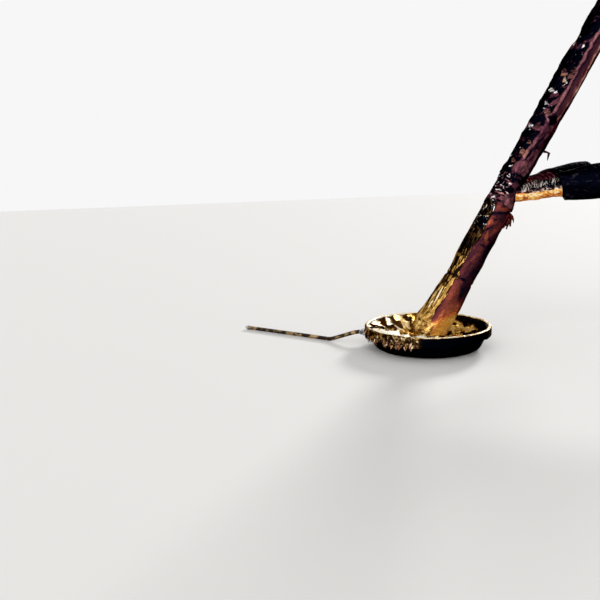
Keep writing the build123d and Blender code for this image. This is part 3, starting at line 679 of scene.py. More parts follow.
@dataclass(kw_only=True)
class Foil:
    """What sheets and scraps share: a name, body, slot, finish, local frame and thin wall."""

    name: str
    frame: Matrix
    finish: FoilFinish
    slot: str
    body: str = "leg"
    wall: float = 0.0012
    wall_offset: float = -1.0

    def settle(self, mesh: bpy.types.Mesh) -> bpy.types.Object:
        """Finishes a mesh that is shaped in the local frame.

        Args:
            mesh: The shaped mesh.

        Returns:
            The walled object, riding on its body.
        """
        mesh.transform(self.frame)
        mesh.materials.append(self.finish.build())
        mesh.update()
        piece = linked(self.name, mesh)
        wall = piece.modifiers.new("wall", "SOLIDIFY")
        wall.thickness = self.wall
        wall.offset = self.wall_offset
        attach(piece, self.body)
        return piece


@dataclass(kw_only=True)
class FoilPiece(Foil):
    """One sheet of foil: a skin shaped in a local frame, then dressed and walled."""

    replaced: str
    rests_on: str
    held: Held = Held.GATHERED
    length: float = 0.0

    def skin(self) -> bmesh.types.BMesh:
        """Makes the plain skin in the local frame."""
        raise NotImplementedError

    def shape(self, points: Points) -> tuple[Points, Paint]:
        """Gives each point of the skin its place and colour."""
        raise NotImplementedError

    def build(self, extras: Sequence[bpy.types.Object] = ()) -> bpy.types.Object:
        """Makes the finished object.

        Args:
            extras: Pieces that hang on this sheet; not used.

        Returns:
            The object, riding on its body.
        """
        mesh = mesh_of(self.name, self.skin())
        places = np.empty(len(mesh.vertices) * 3, np.float32)
        mesh.vertices.foreach_get("co", places)
        shaped, paint = self.shape(places.reshape(-1, 3).astype(float))
        mesh.vertices.foreach_set("co", shaped.astype(np.float32).ravel())
        for label, values in (("tone", paint.tone), ("hue", paint.hue)):
            attribute = mesh.attributes.new(label, "FLOAT", "POINT")
            attribute.data.foreach_set("value", np.clip(values, 0.0, 1.0).astype(np.float32))
        piece = self.settle(mesh)
        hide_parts(self.replaced)
        self.declare(piece, extras)
        LOG.info("%s: %d faces on %s", self.name, len(mesh.polygons), self.body)
        return piece

    def declare(self, piece: bpy.types.Object, extras: Sequence[bpy.types.Object]) -> None:
        faces = piece.data.polygons
        areas = np.empty(len(faces), np.float32)
        faces.foreach_get("area", areas)


@dataclass
class FoilTube(FoilPiece):
    """Foil round Z: an open outline of (radius, height) points, turned in fine steps."""

    outline: Table = ()
    steps: int = 88
    spacing: float = 0.008

    def skin(self) -> bmesh.types.BMesh:
        """Spins the finely divided outline."""
        work = bmesh.new()
        verts = [work.verts.new((radius, 0.0, height)) for radius, height in self.outline]
        edges = [work.edges.new(pair) for pair in zip(verts, verts[1:])]
        for edge in edges:
            cuts = int(edge.calc_length() / self.spacing)
            if cuts > 0:
                bmesh.ops.subdivide_edges(work, edges=[edge], cuts=cuts)
        bmesh.ops.spin(
            work,
            geom=work.verts[:] + work.edges[:],
            cent=(0, 0, 0),
            axis=(0, 0, 1),
            angle=math.tau,
            steps=self.steps,
            use_merge=True,
        )
        bmesh.ops.remove_doubles(work, verts=work.verts, dist=1e-5)
        bmesh.ops.recalc_face_normals(work, faces=work.faces)
        work.normal_update()
        if sum(self.facing(face) for face in work.faces) < 0:
            bmesh.ops.reverse_faces(work, faces=work.faces)
        return work

    @staticmethod
    def facing(face: bmesh.types.BMFace) -> float:
        """How far a face looks away from Z, weighted by its area."""
        return face.calc_area() * face.normal.to_2d().dot(face.calc_center_median().to_2d())


@dataclass
class StrutBlanket(FoilTube):
    """Foil tube whose two ends turn in to the strut that it wraps."""

    inner: float = 0.0
    outer_line: Table = ()
    cuff: Span = (0.001, 0.009)

    def __post_init__(self) -> None:
        """Closes the outer line with a cuff at each end."""
        first, last = self.outer_line[0], self.outer_line[-1]
        self.outline = ((self.inner, first[1]), *self.outer_line, (self.inner, last[1]))
        self.length = last[1] - first[1]

    def freedom(self, points: Points) -> Points:
        """1 where the foil is free to crumple, falling to 0 in the cuffs."""
        return ramp(radius_of(points) - self.inner, *self.cuff)

    def upness(self, points: Points) -> Points:
        """1 for points on the top of a strut that lies, -1 for points underneath."""
        rising = np.array(self.frame.to_3x3())[2]
        return (points[:, 0] * rising[0] + points[:, 1] * rising[1]) / radius_of(points)


@dataclass(frozen=True)
class SheathForm:
    """How far the lower sheath stands off the strut, and how far it sags to one side."""

    radii: Table = (
        (0.0, 0.122), (0.25, 0.121), (0.33, 0.115), (0.40, 0.108), (0.45, 0.104), (0.50, 0.101),
        (0.56, 0.104), (0.63, 0.108), (0.71, 0.109), (0.80, 0.1045), (0.92, 0.1045), (1.00, 0.107),
        (1.09, 0.107),
    )
    sags: Table = (
        (0.07, 0.0), (0.15, 0.014), (0.22, 0.022), (0.45, 0.027), (0.55, 0.026), (0.65, 0.020),
        (0.75, 0.015), (0.90, 0.011), (1.00, 0.015), (1.05, 0.013), (1.0847, 0.004),
    )
    bulges: Table = ((-0.04, 0.010), (0.03, 0.024), (0.09, 0.022), (0.15, 0.010), (0.21, 0.0))
    sag_bearing: float = math.radians(338.0)
    least: float = 0.0715

    def radius(self, height: Points) -> Points:
        """Radius at a height: a ball below the joint, a bag above it, then a sleeve."""
        ball = np.sqrt(np.maximum(self.radii[0][1] ** 2 - np.minimum(height, 0.0) ** 2, 1e-6))
        return np.where(height < 0.0, ball, along_table(height, self.radii))

    def sagged(self, points: Points) -> Points:
        """Points bulged and moved to one side by the sag, and kept off the cylinder inside."""
        side = np.array((math.cos(self.sag_bearing), math.sin(self.sag_bearing)))
        share = np.maximum(points[:, :2] @ side / radius_of(points), 0.0)
        moved = outwards(points, share * along_table(points[:, 2], self.bulges))
        moved[:, :2] += along_table(points[:, 2], self.sags)[:, None] * side
        return outwards(moved, np.maximum(self.least - radius_of(moved), 0.0))


SHEATH_FORM = SheathForm()


@dataclass
class LowerSheath(FoilTube):
    """Smooth amber blanket over the sliding cylinder, bagged, with painted reflected light glowing gold at
    its foot and painted shade down one side.
    """

    top: float = 1.0847
    lowest: float = -0.080
    levelled_below: float = 0.11
    tied_at: float = 0.452
    collar_inner: float = 0.088
    hem_drop: float = 0.017
    fold_depth: float = 0.0032
    crease_depth: float = 0.0048
    seam_depth: float = 0.004
    tie_depth: float = 0.006
    ball_clearance: Span = (-0.0025, 0.004)
    under_seam_from: Span = (144.0, 152.0)
    rougher_above: Span = (0.62, 0.80)
    smooth_edge: Table = (
        (0.02, 246.0), (0.08, 234.0), (0.15, 228.0), (0.25, 230.0), (0.35, 227.0), (0.42, 224.0),
        (0.455, 238.0), (0.50, 222.0), (0.60, 223.0), (0.70, 227.0), (0.78, 241.0), (0.85, 240.0),
        (0.93, 233.0), (1.08, 230.0),
    )
    shade_edge: Table = (
        (0.20, 312.0), (0.26, 292.0), (0.31, 273.0), (0.40, 254.0), (0.50, 256.0), (0.60, 261.0),
        (0.70, 265.0), (0.80, 282.0), (0.90, 300.0), (1.08, 312.0),
    )
    # Top edge, by bearing, of the painted reflected light at the foot
    painted_glow_top: Table = (
        (246.0, 0.03), (256.0, 0.085), (265.0, 0.135), (278.0, 0.170), (292.0, 0.200), (314.0, 0.225),
        (332.0, 0.165), (350.0, 0.08), (380.0, 0.02),
    )
    # Single facets, each painted with the light it catches: the darkest rows are painted shadow in creases
    # and the tie's notch, the lighter ones painted reflections
    patches: tuple[Patch, ...] = patch_rows(
        (243, 0.925, 13, 0.035, 4, 0.54, 0),
        (258, 0.815, 12, 0.060, -8, 0.50, 0),
        (276, 0.775, 14, 0.028, 6, 0.46, 0),
        (262, 0.742, 20, 0.012, 0, 0.10, 0),
        (292, 0.860, 12, 0.070, 16, 0.22, 0),
        (252, 0.880, 6, 0.060, 20, 0.16, 0),
        (270, 1.045, 30, 0.035, 8, 0.47, 0),
        (252, 0.640, 5, 0.080, 14, 0.38, 0),
        (288, 0.600, 8, 0.090, 18, 0.22, 0),
        (258, 0.452, 22, 0.016, -3, 0.02, 0),
        (254, 0.060, 5, 0.075, 2, 0.16, 0.4),
    )

    def __post_init__(self) -> None:
        """Draws the outline from the lowest point of the skirt to the turned-in top."""
        heights = np.concatenate([np.linspace(self.lowest, 0.0, 11), np.linspace(0.05, self.top, 22)])
        radii = SHEATH_FORM.radius(heights)
        self.outline = (*zip(radii.tolist(), heights.tolist()), (self.collar_inner, self.top))
        self.length = self.top - self.lowest

    def hem(self, bearing: Points) -> Points:
        """Height on the strut of the skirt's level hem, by bearing."""
        tilt = math.sin(LAYOUT.lean) * np.cos(np.radians(bearing))
        upright = math.cos(LAYOUT.lean)
        skirt = SHEATH_FORM.radii[0][1]
        share = np.clip(-self.hem_drop / skirt / np.hypot(tilt, upright), -1.0, 1.0)
        polar = np.arccos(share) - np.arctan2(tilt, upright)
        return skirt * np.cos(polar)

    def levelled(self, points: Points, bearing: Points) -> Points:
        """Points of the skirt drawn along the strut until its hem is level with the ground."""
        start = self.levelled_below
        height = points[:, 2].copy()
        low = height < start
        squeeze = (start - self.hem(bearing)) / (start - self.lowest)
        height[low] = (start - (start - height) * squeeze)[low]
        moved = outwards(points, np.where(low, SHEATH_FORM.radius(height) - radius_of(points), 0.0))
        moved[:, 2] = height
        return moved

    def shape(self, points: Points) -> tuple[Points, Paint]:
        """Levels the hem, crumples the blanket and paints it."""
        bearing = bearing_of(points, LEG_START)
        free = ramp(radius_of(points), self.collar_inner + 0.001, self.collar_inner + 0.010)
        levelled = self.levelled(points, bearing)
        height = levelled[:, 2]
        long_folds = Crumple(size=0.075, stretch=4.0, octaves=2, seed=11).at(levelled)
        diagonal = Crumple(size=0.085, stretch=1.5, seed=12).at(levelled)
        lick = Crumple(size=0.05, stretch=3.5, seed=13).at(levelled)
        edge = along_table(height, self.smooth_edge)
        under_seam = window(bearing, self.under_seam_from, (edge + 3.0, edge - 4.0))
        rough = 0.35 + 0.65 * ramp(height, *self.rougher_above) + 0.6 * ramp(bearing, 345.0, 400.0)
        offset = self.fold_depth * long_folds.level + self.crease_depth * diagonal.level * rough
        offset = offset * (1.0 - under_seam) - self.seam_depth * under_seam
        offset -= self.tie_depth * bell(height, self.tied_at, 0.010)
        offset = np.where(height < 0.10, np.clip(offset, *self.ball_clearance), offset)
        moved = SHEATH_FORM.sagged(outwards(levelled, offset * free))
        return moved, self.paint(bearing, height, long_folds, diagonal, lick)

    def paint(
        self, bearing: Points, height: Points, long_folds: Creases, diagonal: Creases, lick: Creases
    ) -> Paint:
        """Plans the blanket's colour.

        Args:
            bearing: Bearing of each point.
            height: Height of each up the strut.
            long_folds: Folds along the strut.
            diagonal: Creases across it.
            lick: Flickering edge of the painted reflected light.

        Returns:
            Tone and hue for each point.
        """
        paint = Paint.plain(height, 0.29)
        # Tone by height: lighter towards the foot as painted reflected light, a painted shadow band across
        # the crumple near 0.745, and folds darkened as painted shade
        paint.lay(ramp(height, 0.47, 0.44), 0.36)
        paint.lay(ramp(height, 0.36, 0.22), 0.45)
        paint.lay(ramp(height, 0.70, 0.80), 0.33 + 0.28 * diagonal.tint)
        paint.lay(around(height, 0.745, 0.035, 0.015), 0.20 + 0.1 * diagonal.level)
        paint.tone += 0.08 * long_folds.level + 0.10 * diagonal.level * ramp(height, 0.40, 0.75)
        paint.tone -= 0.05 * diagonal.fold
        for patch in self.patches:
            patch.lay(paint, bearing, height, diagonal.level)
        # Painted shadow: a dark line along a crease across the camera face
        crease_shadow_at = 0.985 + 0.00108 * (bearing - 233.0) + 0.008 * diagonal.level
        crease = bell(height, crease_shadow_at, 0.012) * window(bearing, (226.0, 234.0), (304.0, 296.0))
        paint.lay(crease, 0.04)
        shaded_from = along_table(height, self.shade_edge) + 7.0 * long_folds.level
        shade = window(bearing, (shaded_from - 4.0, shaded_from + 10.0), (430.0, 395.0))
        paint.lay(0.92 * shade, 0.15 + 0.07 * diagonal.level + 0.04 * long_folds.level)
        lit_back = ramp(bearing, 352.0, 372.0)
        paint.lay(0.8 * lit_back, 0.36 + 0.16 * diagonal.level + 0.14 * diagonal.tint)
        # Painted reflected light from the dish: a gold glowing band up the foot, a lighter halo above it and
        # a brightest patch within it
        top = along_table(bearing, self.painted_glow_top) + 0.025 * lick.level
        painted_glow = ramp(height, top + 0.035, top - 0.035)
        painted_glow_spill = ramp(height, top + 0.20, top) * (0.15 + 0.70 * ramp(bearing, 232.0, 264.0))
        paint.lay(painted_glow_spill, 0.69)
        paint.lay(ramp(bearing, 256.0, 238.0) * ramp(height, 0.30, 0.22), 0.34 + 0.06 * lick.level)
        paint.lay(painted_glow, 0.84 + 0.09 * lick.level, 0.0)
        painted_glow_core = around(bearing, 298.0, 30.0, 8.0) * ramp(height, 0.18, 0.13)
        paint.lay(painted_glow_core * painted_glow, 0.88 + 0.08 * lick.level)
        # Painted reflected light: mottled gold round the foot on the outboard side
        foot = window(bearing, (140.0, 150.0), (262.0, 254.0)) * ramp(height, 0.07, 0.05)
        paint.lay(foot, 0.58 + 0.4 * (diagonal.shard - 0.5) + 0.2 * lick.level, 1.0)
        return paint


@dataclass
class SheathSeam(FoilPiece):
    """Gathered edge of the sheath: streaky foil lumped along its outboard side, gold low down as painted
    reflected light and black higher up.
    """

    low: float = 0.030
    high: float = 1.083
    first_bearing: float = 149.0
    tied_at: float = 0.455
    lift: float = 0.0015
    edge: Table = LowerSheath.smooth_edge
    strands: Table = ((0.0, 0.04), (0.36, 0.14), (0.50, 0.50), (0.72, 0.74), (1.0, 0.97))
    # Tone added by height: painted reflected light at the foot, falling to dark towards the top
    painted_light_by_height: Table = (
        (0.03, 0.14), (0.18, 0.04), (0.45, -0.08), (0.60, -0.16), (0.72, -0.28), (0.84, -0.62),
    )
    ridge: float = 0.008
    ragged: float = 4.5
    border_width: float = 7.0
    across: int = 72
    along: int = 170

    def skin(self) -> bmesh.types.BMesh:
        """Flat grid: X across the seam, Y along it."""
        work = bmesh.new()
        bmesh.ops.create_grid(work, x_segments=self.across, y_segments=self.along, size=0.5)
        return work

    def shape(self, points: Points) -> tuple[Points, Paint]:
        """Wraps the grid on the sheath in lengthwise lumps and streaks."""
        share, side = points[:, 1] + 0.5, points[:, 0] + 0.5
        height = self.low + (self.high - self.low) * share
        last = along_table(height, self.edge)
        base = SHEATH_FORM.radius(height)
        angle = np.radians(self.first_bearing + (last - self.first_bearing) * side)
        tube = np.stack([base * np.cos(angle), base * np.sin(angle), height], 1)
        lumps = Crumple(size=0.060, stretch=2.2, seed=61).at(tube)
        streaks = Crumple(size=0.020, stretch=7.0, octaves=2, warp=0.5, seed=62).at(tube)
        flecks = Crumple(size=0.030, stretch=2.2, octaves=2, seed=63).at(tube)
        slivers = Crumple(size=0.022, stretch=3.0, octaves=2, warp=1.2, seed=64).at(tube)
        border = np.minimum(side, 1.0 - side) * (last - self.first_bearing)
        angle = angle + np.radians(self.ragged * flecks.level * ramp(side, 0.8, 1.0))
        tie = bell(height, self.tied_at, 0.012)
        body = np.clip(0.50 + 0.35 * lumps.level + 0.35 * streaks.level, 0.0, 1.3)
        free = ramp(border, 0.0, self.border_width) * (1.0 - 0.8 * tie)
        free *= window(share, (0.0, 0.02), (1.0, 0.98))
        radius = base + self.lift + self.ridge * body * free
        moved = np.stack([radius * np.cos(angle), radius * np.sin(angle), height], 1)
        moved = outwards(SHEATH_FORM.sagged(moved), np.full(len(moved), self.lift))
        # Streaky tone, brighter and gold low down as painted reflected light from the dish, darker and on
        # the black film towards the top
        strand = streaks.facet * 0.65 + streaks.shard * 0.35 + along_table(height, self.painted_light_by_height)
        tone = along_table(strand, self.strands) + 0.10 * lumps.level
        paint = Paint(tone, 1.0 - ramp(height, 0.78, 0.90))
        # Brighter mottling at the very foot: painted reflected light
        paint.lay(0.75 * ramp(height, 0.22, 0.10), 0.53 + 0.5 * flecks.tint)
        brown = (lumps.facet > 0.70) * (flecks.facet > 0.35) * ramp(height, 0.66, 0.80)
        paint.lay(brown, 0.24 + 0.1 * streaks.level, 1.0)
        glint = (slivers.shard > 0.89) * (flecks.facet > 0.40) * ramp(height, 0.70, 0.92)
        paint.lay(glint, 0.97, 0.0)
        pale = around(np.degrees(angle), last - 7.0, 5.5, 3.5)
        pale *= window(height, (0.08, 0.16), (0.44, 0.42))
        paint.lay(pale, 0.56 + 0.10 * streaks.level, 1.0)
        paint.lay(tie * 0.8, 0.10)
        return moved, paint


@dataclass
class UpperBlanket(StrutBlanket):
    """Long wrap of the fixed cylinder: black and crushed outboard with painted glints, red-brown and
    smoother inboard with stripes of painted reflection and a painted highlight.
    """

    crush_depth: float = 0.012
    fold_depth: float = 0.0045
    sunk: float = 0.004
    faceted_below: Span = (1.95, 1.72)
    # Where the painted highlight along the inboard side starts up the strut, and how many degrees past the
    # smooth edge it lies
    edge_highlight_above: Span = (1.66, 1.90)
    edge_highlight_at: float = 49.0
    smooth_edge: Table = (
        (1.29, 236.0), (1.41, 226.0), (1.53, 233.0), (1.64, 244.0), (1.78, 242.0),
        (1.86, 250.0), (2.09, 252.0), (2.40, 246.0), (2.75, 256.0), (3.22, 248.0),
    )
    # Tone by degrees past the smooth edge: stripes of painted reflection along the smooth part
    reflection_bands: Table = (
        (0.0, 0.52), (9.0, 0.58), (13.0, 0.10), (19.0, 0.30), (34.0, 0.38), (42.0, 0.56),
        (54.0, 0.60), (61.0, 0.34), (72.0, 0.24), (90.0, 0.30), (120.0, 0.34), (160.0, 0.40),
    )
    # Single facets; the white rows, of tone near 1 and hue 0, are painted glints
    patches: tuple[Patch, ...] = patch_rows(
        (226, 1.690, 34, 0.013, 0, 0.50, 1),
        (246, 1.808, 20, 0.036, -8, 0.62, 1),
        (258, 1.712, 32, 0.032, 6, 0.42, 1),
        (240, 1.478, 15, 0.052, -4, 0.68, 1),
        (252, 1.490, 5, 0.070, 6, 0.10, 0),
        (246, 1.566, 7, 0.052, 14, 0.54, 1),
        (238, 1.400, 26, 0.036, 4, 0.46, 1),
        (262, 1.372, 26, 0.034, -6, 0.40, 1),
        (268, 1.408, 4, 0.075, 8, 0.62, 1),
        (270, 1.322, 36, 0.014, 4, 0.04, 0),
        (256, 1.985, 7, 0.145, 5, 0.58, 1),
        (268, 1.805, 26, 0.042, 0, 0.06, 0),
        (268, 1.640, 6, 0.080, 10, 0.12, 1),
        (290, 1.520, 5, 0.110, 8, 0.56, 1),
        (199, 1.707, 6, 0.010, 0, 1.0, 0),
        (222, 1.720, 5, 0.009, 0, 1.0, 0),
        (201, 1.672, 9, 0.007, 0, 0.98, 0),
        (187, 2.006, 9, 0.013, 4, 1.0, 0),
        (221, 1.992, 9, 0.016, 3, 0.96, 0),
        (217, 1.887, 8, 0.009, 5, 1.0, 0),
        (213, 1.850, 7, 0.009, 0, 0.98, 0),
        (204, 1.521, 4, 0.009, 0, 1.0, 0),
        (222, 1.566, 3.5, 0.008, 0, 1.0, 0),
        (203, 1.412, 5, 0.009, 0, 1.0, 0),
        (205, 1.368, 10, 0.012, 8, 1.0, 0),
    )

    def shape(self, points: Points) -> tuple[Points, Paint]:
        """Crushes the outboard half, folds the inboard half lengthwise and paints both."""
        bearing = bearing_of(points, LEG_START)
        height = points[:, 2]
        crush = Crumple(size=0.095, stretch=1.35, octaves=4, seed=21).at(points)
        small = Crumple(size=0.036, stretch=1.2, octaves=2, seed=22).at(points)
        long_folds = Crumple(size=0.055, stretch=7.0, octaves=2, seed=23).at(points)
        edge = along_table(height, self.smooth_edge) + 5.0 * small.level
        smooth = window(bearing, (edge - 2.0, edge + 3.0), INBOARD_END)
        lower = ramp(height, *self.faceted_below)
        offset = self.crush_depth * crush.level * (1.0 - 0.75 * smooth * (1.0 - 0.45 * lower))
        offset += self.fold_depth * long_folds.level * smooth
        moved = outwards(points, (offset - self.sunk) * self.freedom(points))
        paint = Paint.plain(points, 0.20)
        paint.tone += 0.16 * crush.tint
        paint.lay(1.0 * (crush.facet > 0.88), 0.36 + 0.2 * crush.level, 1.0)
        paint.lay(0.8 * (crush.fold > 0.4) * (small.facet > 0.78), 0.46, 1.0)
        # Rare white specks: painted glints
        paint.lay(1.0 * (small.facet > 0.993), 0.95, 0.0)
        # Inboard part: stripes of painted reflection, folds darkened as painted shade where it is faceted
        # low down, and a painted highlight near its far edge higher up
        over = np.clip(bearing - edge, 0.0, 170.0)
        band = along_table(over, self.reflection_bands) + 0.09 * long_folds.level
        faceted = 0.33 + 0.42 * crush.tint + 0.12 * crush.level
        tone = band * (1.0 - lower) + (0.7 * faceted + 0.3 * band) * lower
        paint.lay(smooth, tone - 0.10 * crush.fold * lower, 1.0)
        edge_highlight = around(over, self.edge_highlight_at + 5.0 * long_folds.level, 8.0, 3.0) * ramp(height, *self.edge_highlight_above)
        edge_highlight *= smooth * (0.35 + 0.65 * (crush.facet > 0.35))
        paint.lay(0.8 * edge_highlight, 0.84 + 0.08 * long_folds.level)
        for patch in self.patches:
            patch.lay(paint, bearing, height, crush.level)
        return moved, paint


@dataclass
class CollarBlanket(StrutBlanket):
    """Hard-crushed foil round the collar: black with painted silver glints outboard, purple-brown inboard.
    """

    hole: float = 0.060
    crush_depth: float = 0.0075
    bulge_depth: float = 0.014
    sunk: float = 0.0045
    deepest: float = 0.009
    # Single facets; rows of tone 0.92 or more are painted silver glints
    patches: tuple[Patch, ...] = patch_rows(
        (174, 1.270, 14, 0.010, 10, 0.98, 0),
        (222, 1.284, 14, 0.008, -8, 0.98, 0),
        (243, 1.240, 10, 0.009, 6, 0.96, 0),
        (215, 1.206, 13, 0.008, -6, 0.96, 0),
        (207, 1.168, 15, 0.008, 8, 0.95, 0.2),
        (251, 1.172, 15, 0.007, -6, 0.92, 0.6),
        (230, 1.150, 34, 0.006, 8, 0.66, 1),
        (206, 1.106, 8, 0.014, 5, 0.96, 0),
        (249, 1.134, 16, 0.006, 10, 0.70, 1),
        (232, 1.255, 26, 0.006, -10, 0.62, 1),
        (284, 1.115, 50, 0.050, 6, 0.51, 1),
        (278, 1.240, 24, 0.022, 4, 0.40, 1),
        (280, 1.292, 44, 0.018, 4, 0.03, 0),
        (262, 1.200, 12, 0.030, 4, 0.06, 0),
    )

    def skin(self) -> bmesh.types.BMesh:
        """Cuts a hole for each secondary strut in the tube."""
        work = super().skin()
        for side in Side:
            to_strut = (LAYOUT.leg().inverted() @ LAYOUT.secondary(side)).inverted()
            cut_away(work, to_strut, lambda seen: seen.z > 0 and math.hypot(seen.x, seen.y) < self.hole)
        return work

    def shape(self, points: Points) -> tuple[Points, Paint]:
        """Crushes the blanket and paints it."""
        bearing = bearing_of(points, LEG_START)
        height = points[:, 2]
        crush = Crumple(size=0.060, seed=31).at(points)
        small = Crumple(size=0.028, octaves=2, seed=32).at(points)
        bulge = window(bearing, (262.0, 275.0), (360.0, 340.0)) * ramp(height, 1.16, 1.11)
        offset = self.crush_depth * crush.level - self.sunk + self.bulge_depth * bulge
        moved = outwards(points, np.maximum(offset, -self.deepest) * self.freedom(points))
        paint = Paint.plain(points, 0.14)
        inboard = window(bearing, (250.0, 262.0), INBOARD_END)
        outboard = 1.0 - inboard
        paint.lay(inboard, 0.30 + 0.22 * crush.tint, 1.0)
        paint.lay(outboard * (crush.facet > 0.82), 0.40, 1.0)
        # Rare silver specks outboard: painted glints
        paint.lay(outboard * (small.facet > 0.94), 0.95, 0.0)
        paint.lay(outboard * (crush.fold > 0.35) * (small.facet > 0.60), 0.55, 1.0)
        for patch in self.patches:
            patch.lay(paint, bearing, height, crush.level)
        return moved, paint


@dataclass
class RootWrap(StrutBlanket):
    """Foil on a secondary strut's root, painted by which way it faces: gold below as painted reflection of
    lit ground, frayed along the middle with silver that is partly painted light, black on top as painted
    reflection of a dark sky.
    """

    crush: Crumple = Crumple(size=0.045, stretch=1.2, seed=71)
    crush_depth: float = 0.007
    reddish: bool = False
    tuck_radius: float = 0.099
    tuck_until: float = 0.25

    def tucked(self, points: Points) -> Points:
        """Points whose first end is drawn in until it meets the collar's foil all round."""
        axis = self.frame.to_3x3().inverted() @ LAYOUT.up_strut
        along = points[:, 0] * axis.x + points[:, 1] * axis.y
        square = 1.0 - axis.z**2
        half = -axis.z * along
        rest = radius_of(points) ** 2 - along**2 - self.tuck_radius**2
        start = (-half + np.sqrt(np.maximum(half**2 - square * rest, 0.0))) / square
        first = self.outer_line[0][1]
        reach = (points[:, 2] - first) / (self.tuck_until - first)
        moved = points.copy()
        near = points[:, 2] < self.tuck_until
        moved[near, 2] = (start + reach * (self.tuck_until - start))[near]
        return moved

    def shape(self, points: Points) -> tuple[Points, Paint]:
        """Crushes the wrap and paints it by which way each point faces, as painted light."""
        crease = self.crush.at(points)
        small = Crumple(size=0.020, stretch=1.4, octaves=2, seed=self.crush.seed + 5).at(points)
        moved = outwards(self.tucked(points), self.crush_depth * crease.level * self.freedom(points))
        # Colour by which way each point faces: underneath, gold as painted reflection of lit ground; along
        # the middle, silver partly painted light; on top, black as painted reflection of a dark sky, with
        # painted glints
        up = self.upness(points) + 0.16 * crease.level
        paint = Paint.plain(points, 0.86)
        paint.lay(ramp(up, -0.45, -0.65), 0.72)
        paint.tone += 0.34 * small.tint + 0.14 * crease.level
        middle = window(up, (-0.14, 0.0), (0.34, 0.18))
        paint.lay(middle, 0.62 + 0.7 * small.tint, 0.9)
        top = ramp(up, 0.16, 0.30)
        paint.lay(top, 0.12 + 0.6 * (small.facet > 0.97), 1.0)
        if self.reddish:
            paint.lay(ramp(up, -0.3, 0.0), 0.36 + 0.3 * small.tint, 0.0)
            # Bright specks on the reddish underside: painted glints
            paint.lay(1.0 * (small.facet > 0.9), 0.96, 1.0)
        return moved, paint


@dataclass
class Shroud(StrutBlanket):
    """Black blanket over a secondary strut's sleeve, its mouth leaning back at the bottom."""

    crush: Crumple = Crumple(size=0.12, stretch=1.8, seed=81)
    crush_depth: float = 0.007
    sunk: float = 0.001
    mouth_lean: float = 0.022
    mouth_length: float = 0.12
    red_until: float = 0.0

    def shape(self, points: Points) -> tuple[Points, Paint]:
        """Creases the blanket, leans its mouth and paints it."""
        height, free = points[:, 2], self.freedom(points)
        crease = self.crush.at(points)
        small = Crumple(size=0.035, stretch=1.3, octaves=2, seed=self.crush.seed + 5).at(points)
        moved = outwards(points, (self.crush_depth * crease.level - self.sunk) * free)
        start = self.outer_line[0][1]
        mouth = ramp(height, start + self.mouth_length, start)
        moved[:, 2] -= self.mouth_lean * self.upness(points) * mouth * free
        paint = Paint.plain(points, 0.20)
        paint.tone += 0.3 * crease.tint
        paint.lay(1.0 * (crease.fold > 0.4) * (small.facet > 0.6), 0.62, 0.0)
        reddish = ramp(height, self.red_until, self.red_until - 0.03)
        paint.lay(reddish, 0.38 + 0.4 * small.tint, 1.0)
        return moved, paint


